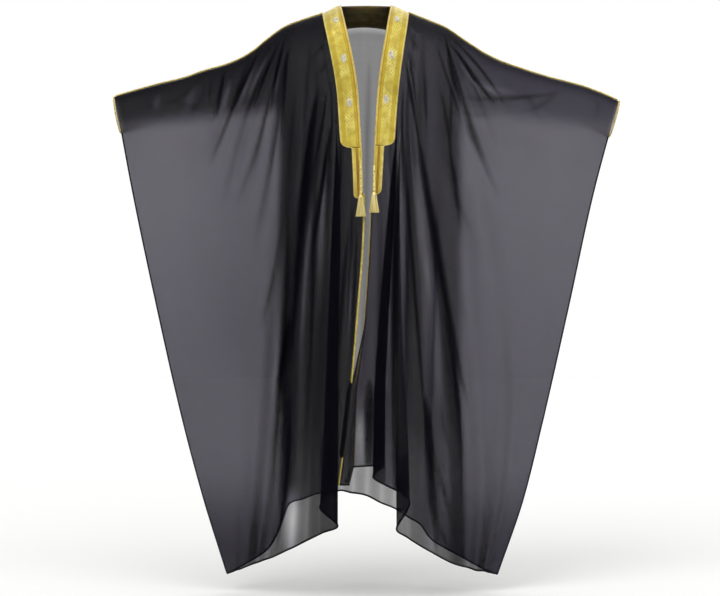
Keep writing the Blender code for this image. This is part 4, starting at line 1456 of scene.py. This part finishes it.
    def motif(self, bm: bmesh.types.BMesh, here: Array, across: Array, down: Array,
              out: Array) -> None:
        """Add one raised oval motif: a rim, a groove, petals and a boss.

        Args:
            bm: The mesh that takes it.
            here: Its middle.
            across: Its short axis.
            down: Its long axis.
            out: The way it faces.
        """
        half_wide, half_long = self.motif_size
        seat = Matrix((Vector(across) * half_wide, Vector(-down) * half_long,
                       Vector(out) * MM)).transposed().to_4x4()
        seat.translation = Vector(here)
        made = bmesh.ops.create_cone(bm, cap_ends=True, segments=28, radius1=1.0, radius2=0.94,
                                     depth=0.9, matrix=seat @ Matrix.Translation((0, 0, 0.45)))
        top = max((face for vert in made["verts"] for face in vert.link_faces
                   if len(face.verts) > 4), key=lambda f: f.calc_center_median().dot(Vector(out)))
        for thickness, lift in self.motif_steps:
            bmesh.ops.inset_region(bm, faces=[top], thickness=thickness * MM, depth=lift * MM)
        petals = [(self.petal_out, 2 * math.pi * (i + 0.5) / self.petals, self.petal, 8, 5)
                  for i in range(self.petals)]
        for away, angle, size, round_it, up_it in (*petals, (0, 0, self.boss, 10, 6)):
            middle = (away * math.cos(angle), away * math.sin(angle), 0.95)
            bmesh.ops.create_uvsphere(
                bm, u_segments=round_it, v_segments=up_it, radius=1.0,
                matrix=seat @ Matrix.Translation(middle) @ Matrix.Rotation(angle, 4, "Z")
                @ Matrix.Diagonal((*size, 1)))

    def motif_piece(self, finish: Finish) -> Piece:
        """The silver ovals worked on the middle of the wide band."""
        bm = bmesh.new()
        u = np.array([2.0 * (self.motif_across / WIDE_BROCADE.width)])
        for height in self.motifs:
            v = self.panel.share_down(u, height)
            here, across, down, out = (part[0] for part in self.frame_at(u, v))
            self.motif(bm, here + out * (CLEAR + BAND_WALL / 2), across, down, out)
        bmesh.ops.recalc_face_normals(bm, faces=bm.faces)
        return place(f"zari_motifs_{self.side.word}", closed_mesh(bm), finish, Slot.BAND)

    def edge_cord(self, finish: Finish) -> Piece:
        """The twisted gold cord down the front edge, from the narrow band to the hem."""
        here, across, _, out = self.frame_at(0.0, np.linspace(self.tip - 0.004, 1.0, 160))
        under = self.rolled_under * self.edge_radius
        line = here - out * under + across * (under - self.edge_radius)
        return couch("edge", self.side, Twist.couched(line, self.edge_radius, self.edge_pitch),
                     finish)


@dataclass
class SleeveTrim:
    """Gold cord along one shoulder seam and round the cuff."""

    side: Side
    front: ClothPanel
    back: ClothPanel
    shoulder_radius: float = 2.4 * MM
    shoulder_pitch: float = 8 * MM
    cuff_radius: float = 2.2 * MM
    cuff_pitch: float = 9 * MM

    def cords(self, finish: Finish) -> list[Piece]:
        """The cord from the band over the sleeve to the cuff, and the one round the cuff."""
        line = self.front.smooth(np.linspace(2.0, self.front.last - 0.01, 120), 0)
        line[:, 1] = 0
        line[:, 2] += self.shoulder_radius + 0.3 * MM
        v = np.linspace(0, self.front.form.cuff_depth, 40)
        back_end = 0 if self.side is Side.RIGHT else self.back.last
        loop = np.vstack([self.front.smooth(self.front.last, v),
                          self.back.smooth(back_end, v)[-2:0:-1]])
        loop[:, 0] += self.side.value * (self.cuff_radius + 0.4 * MM)
        over = Twist.couched(line, self.shoulder_radius, self.shoulder_pitch)
        around = Twist.couched(loop, self.cuff_radius, self.cuff_pitch, never_along=(1, 0, 0),
                               closed=True)
        return [couch("shoulder", self.side, over, finish),
                couch("cuff", self.side, around, finish)]


@dataclass
class NeckBand:
    """The same woven band behind the neck."""

    panel: ClothPanel
    start: str = "ridge_3"
    end: str = "ridge_6"
    depth: float = 0.041  # share of the way down

    def build(self, finish: Finish) -> Piece:
        """Lay the band along the top of the back."""
        u = np.linspace(self.panel.index_of(self.start), self.panel.index_of(self.end), 120)
        t = np.linspace(0, 1, 37)[:, None]
        points = self.panel.smooth(u, t * self.depth)
        out = normals(points)
        out = out * np.sign(np.sum(out[..., 1]))
        across = t * WIDE_BROCADE.width + np.zeros(u.shape)
        points = points + out * (CLEAR + WIDE_BROCADE.height_at(across))[..., None]
        mesh = grid_mesh(points, joined(across, travelled(points[len(t) // 2])), (0, 1, 0))
        return place("zari_neck_band", mesh, finish, Slot.BAND, ["neck_band"], BAND_WALL)


@dataclass
class Tie:
    """Twisted silk tie of one front, with its knot and tassel: where it hangs and how far."""

    side: Side
    x: float
    cord_top: float
    knot: float
    foot: float
    foot_radius: float
    seed: int
    cord_radius: float = 2.6 * MM
    ply: float = 0.62  # of the cord's radius
    ply_in: float = 0.62  # of a ply's radius, from the cord's outside to the ply's middle
    lobe: float = 0.22
    bend_share: float = 0.35
    pitch: float = 11.8 * MM
    bead: Triple = (3.7 * MM, 3.3 * MM, 4.0 * MM)
    head_rings: tuple[Pair, ...] = (  # radius and depth, millimetres
        (0, 0), (1.9, 0), (3.4, 1.2), (3.9, 3.5), (3.3, 5.6), (3.7, 6.4), (3.7, 9.4),
        (3.4, 10.2), (4.6, 12.5), (5.6, 16), (6.6, 19.5), (0, 19.5))
    wrap_turns: int = 5
    wrap_radius: float = 3.9 * MM
    wrap_thread: float = 0.5 * MM
    wrap_depth: float = 5.8  # of the first turn under the head's top, and from it to the last
    wrap_length: float = 3.9
    strands: int = 150
    strand_radius: float = 0.62 * MM
    strand_top: float = 17.5 * MM  # under the head's top
    bundle: float = 6.0 * MM  # radius of the strands where they start
    uneven: float = 3.5  # millimetres between the longest strand's end and the shortest's
    golden_angle: float = 2.399963  # spreads the strands evenly, as seeds in a flower

    def route(self) -> Array:
        """The cord's middle line: under the band, out over the bend and plumb to the knot."""
        low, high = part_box(f"tassel_cord_{self.side.word}")
        reach = self.cord_radius * (1 + self.lobe)
        root_y, axis_y = high[1] - reach, low[1] + reach
        top, knot = self.cord_top, self.knot
        z = np.linspace(top, knot + 0.3 * MM, 28)
        hang = knot + (top - knot) * self.bend_share
        return joined(self.x, root_y + (axis_y - root_y) * ease(top - z, 0.0, top - hang), z)

    def head(self, knot: Array) -> bmesh.types.BMesh:
        """The wound head under this place, turned round its axis."""
        bm = bmesh.new()
        profile = [bm.verts.new((knot[0] + radius * MM, knot[1], knot[2] - depth * MM))
                   for radius, depth in self.head_rings]
        edges = [bm.edges.new(pair) for pair in zip(profile, profile[1:])]
        bmesh.ops.spin(bm, geom=profile + edges, cent=Vector(knot), axis=(0, 0, 1),
                       angle=2 * math.pi, steps=28, use_merge=True)
        bmesh.ops.remove_doubles(bm, verts=bm.verts, dist=1e-6)
        bmesh.ops.recalc_face_normals(bm, faces=bm.faces)
        return bm

    def wraps(self, knot: Array) -> Array:
        """Turns of thread wound round the neck of the head."""
        share = np.linspace(0, 1, 90)
        angle = np.linspace(0, 2 * math.pi * self.wrap_turns, 90)
        return joined(knot[0] + self.wrap_radius * np.cos(angle),
                      knot[1] + self.wrap_radius * np.sin(angle),
                      knot[2] - (self.wrap_depth + self.wrap_length * share) * MM)

    def strand_lines(self, knot: Array) -> list[Array]:
        """The hanging strands, uneven as silk is."""
        chance = np.random.default_rng(self.seed)
        start = knot[2] - self.strand_top
        t = np.linspace(0, 1, 9)
        widening = 0.35 * t + 0.65 * t ** 1.4
        lines = []
        for i in range(self.strands):
            turn = self.golden_angle * i + chance.uniform(-0.15, 0.15) + 0.12 * t
            share = math.sqrt((i + 0.5) / self.strands)
            end = self.foot + chance.uniform(0.0, self.uneven) * MM
            spread = self.bundle * share + (self.foot_radius - self.bundle) * share * widening
            wave = chance.uniform(0.2, 0.7) * MM * np.sin(
                t * chance.uniform(3, 7) + chance.uniform(0, 6)) * t
            lines.append(joined(knot[0] + spread * np.cos(turn) + wave * np.sin(turn),
                                knot[1] + spread * np.sin(turn) - wave * np.cos(turn),
                                start + (end - start) * t))
        return lines

    def build(self, twist: Finish, silk: Finish, bound: Finish, light: Finish) -> None:
        """Make the tassel, the bead where the cord leaves the band, and the hanging cord.

        Args:
            twist: Silk of the cord.
            silk: Of the head and strands.
            bound: Metal thread wound round the head.
            light: Of the bead.
        """
        word, line = self.side.word, self.route()
        knot = np.array([*line[-1][:2], self.knot])
        bm = self.head(knot)
        bm.from_mesh(tube_mesh(self.strand_lines(knot), self.strand_radius, resolution=0))
        hung = [place(f"tassel_silk_{word}", closed_mesh(bm), silk, Slot.SILK, [f"tassel_{word}"]),
                place(f"tassel_binding_{word}", tube_mesh([self.wraps(knot)], self.wrap_thread),
                      bound, Slot.SILK)]
        bm = bmesh.new()
        middle = Matrix.Translation(Vector(line[0]) - Vector((0, 0, 1 * MM)))
        bmesh.ops.create_uvsphere(bm, u_segments=20, v_segments=12, radius=1.0,
                                  matrix=middle @ Matrix.Diagonal((*self.bead, 1)))
        hung.append(place(f"tie_bead_{word}", closed_mesh(bm), light, Slot.SILK))
        ply = self.cord_radius * self.ply
        cord = Twist(line, self.cord_radius - ply * self.ply_in, self.pitch, ply,
                     points_per_turn=12)
        piece = place(f"tie_cord_{word}", cord.mesh(resolution=2), twist, Slot.SILK,
                      [f"tassel_cord_{word}"])
        tuple(map(float, line[0]))
        round(float(travelled(line)[-1]), 4)
        [tuple(map(float, point)) for point in line]


# ---- studio
class Lamp(NamedTuple):
    """A broad soft lamp: where it shines from, its strength and how wide it looks."""

    name: str
    azimuth: float
    height: float
    strength: float
    width: float


@dataclass
class Studio:
    """Pale floor, even white surround, soft lamps and the camera."""

    eye: Triple = (-0.01325, -4.5, -0.7526)
    lens: float = 84.9
    floor_z: float = -1.53
    floor_half_width: float = 12
    surround: float = 1.0
    lamps: tuple[Lamp, ...] = (
        Lamp("key", -38, 42, 1.4, 40), Lamp("fill", 40, 30, 1.15, 60), Lamp("top", 10, 80, 0.6, 60),
        Lamp("rim", 165, 35, 0.8, 50))

    def camera(self) -> None:
        """A level camera at the height of the cloak's middle."""
        data = bpy.data.cameras.new("camera")
        data.lens, data.sensor_width, data.sensor_fit = self.lens, 36, "HORIZONTAL"
        data.clip_end = 50
        camera = bpy.data.objects.new("camera", data)
        camera.location = self.eye
        camera.rotation_euler = (math.pi / 2, 0, 0)
        bpy.context.scene.collection.objects.link(camera)
        bpy.context.scene.camera = camera

    def light(self) -> None:
        """White surround and soft lamps."""
        scene = bpy.context.scene
        scene.view_settings.view_transform = "Standard"
        scene.world = world = bpy.data.worlds.new("white surround")
        world.use_nodes = True
        surround = world.node_tree.nodes["Background"]
        surround.inputs["Color"].default_value = linear("#FFFFFF")
        surround.inputs["Strength"].default_value = self.surround
        for lamp in self.lamps:
            data = bpy.data.lights.new(lamp.name, "SUN")
            data.energy, data.angle = lamp.strength, math.radians(lamp.width)
            sun = bpy.data.objects.new(lamp.name, data)
            turn, rise = math.radians(lamp.azimuth), math.radians(lamp.height)
            way = Vector((math.sin(turn) * math.cos(rise), -math.cos(turn) * math.cos(rise),
                          math.sin(rise)))
            sun.rotation_euler = way.to_track_quat("Z", "Y").to_euler()
            scene.collection.objects.link(sun)

    def floor(self) -> None:
        """A wide pale floor a little under the hem."""
        bm = bmesh.new()
        bmesh.ops.create_grid(bm, x_segments=1, y_segments=1, size=self.floor_half_width,
                              matrix=Matrix.Translation((0, 0, self.floor_z)))
        mesh = closed_mesh(bm)
        mesh.materials.append(StudioPaper().make())
        plane = bpy.data.objects.new("floor", mesh)
        bpy.context.scene.collection.objects.link(plane)


@dataclass
class Bisht:
    """The whole cloak."""

    front_flat: Pair = (0.695, 1.32)
    back_flat: Pair = (1.39, 1.32)

    def build(self) -> None:
        """Make every piece, ties first."""
        cloth, hem, wide, narrow, gold, light, silver, tie_silk, tassel_silk = (
            finish.make() for finish in (
                SheerVoile(), RolledHemCloth(), WIDE_BROCADE, NARROW_BROCADE, GOLD_BRAID,
                LIGHT_BRAID, SILVER_THREAD, TIE_SILK, TASSEL_SILK))
        for tie in (Tie(Side.RIGHT, -11 * MM, -401 * MM, -478 * MM, -545 * MM, 13 * MM, seed=11),
                    Tie(Side.LEFT, 23 * MM, -414 * MM, -471 * MM, -535 * MM, 12.5 * MM, seed=29)):
            tie.build(tie_silk, tassel_silk, gold, light)
        back = ClothPanel("cloth_back", Face.BACK, BACK_FOLDS, BACK_CREASES, self.back_flat,
                          body_gathers=0.35, arm_gathers=0.5, low_gathers=0.0,
                          inner_wing=0.05, column_width=5.0 * MM, column_limits=(6, 16))
        right = ClothPanel("cloth_front_right", Face.FRONT, FRONT_RIGHT_FOLDS,
                           FRONT_RIGHT_CREASES, self.front_flat, body_gathers=1.15,
                           arm_gathers=1.15, wing_gathers=0.5, inner_wing=0.2)
        left = ClothPanel("cloth_front_left", Face.FRONT, FRONT_LEFT_FOLDS,
                          FRONT_LEFT_CREASES, self.front_flat, body_gathers=0.7,
                          arm_gathers=0.5, wing_gathers=0.35, inner_wing=0.04,
                          pressed=((0.0, 2.1), (4.6, 0.95)))
        neck = NeckBand(back).build(wide)
        roll = TurnedEdge(left, right).build(cloth, hem)
        back.build(cloth, hem, "back_panel", [neck])
        for trim, rolled in (
                (FrontTrim(Side.RIGHT, right, -0.366, 0.406, (-0.032, -0.136, -0.250), 0.0), []),
                (FrontTrim(Side.LEFT, left, -0.360, 0.416, (-0.030, -0.126, -0.240), 1.5), roll)):
            sewn = [*trim.bands((wide, narrow)), trim.edging(light), trim.motif_piece(silver),
                    trim.edge_cord(gold), *SleeveTrim(trim.side, trim.panel, back).cords(gold)]
            trim.panel.build(cloth, hem, f"front_panel_{trim.side.word}", sewn + rolled)


def main() -> None:
    """Build the studio and the cloak."""
    logging.basicConfig(level=logging.INFO, format="%(message)s")
    studio = Studio()
    studio.camera()
    Bisht().build()
    studio.light()
    studio.floor()
    bpy.context.view_layer.update()


if __name__ == "__main__":
    main()
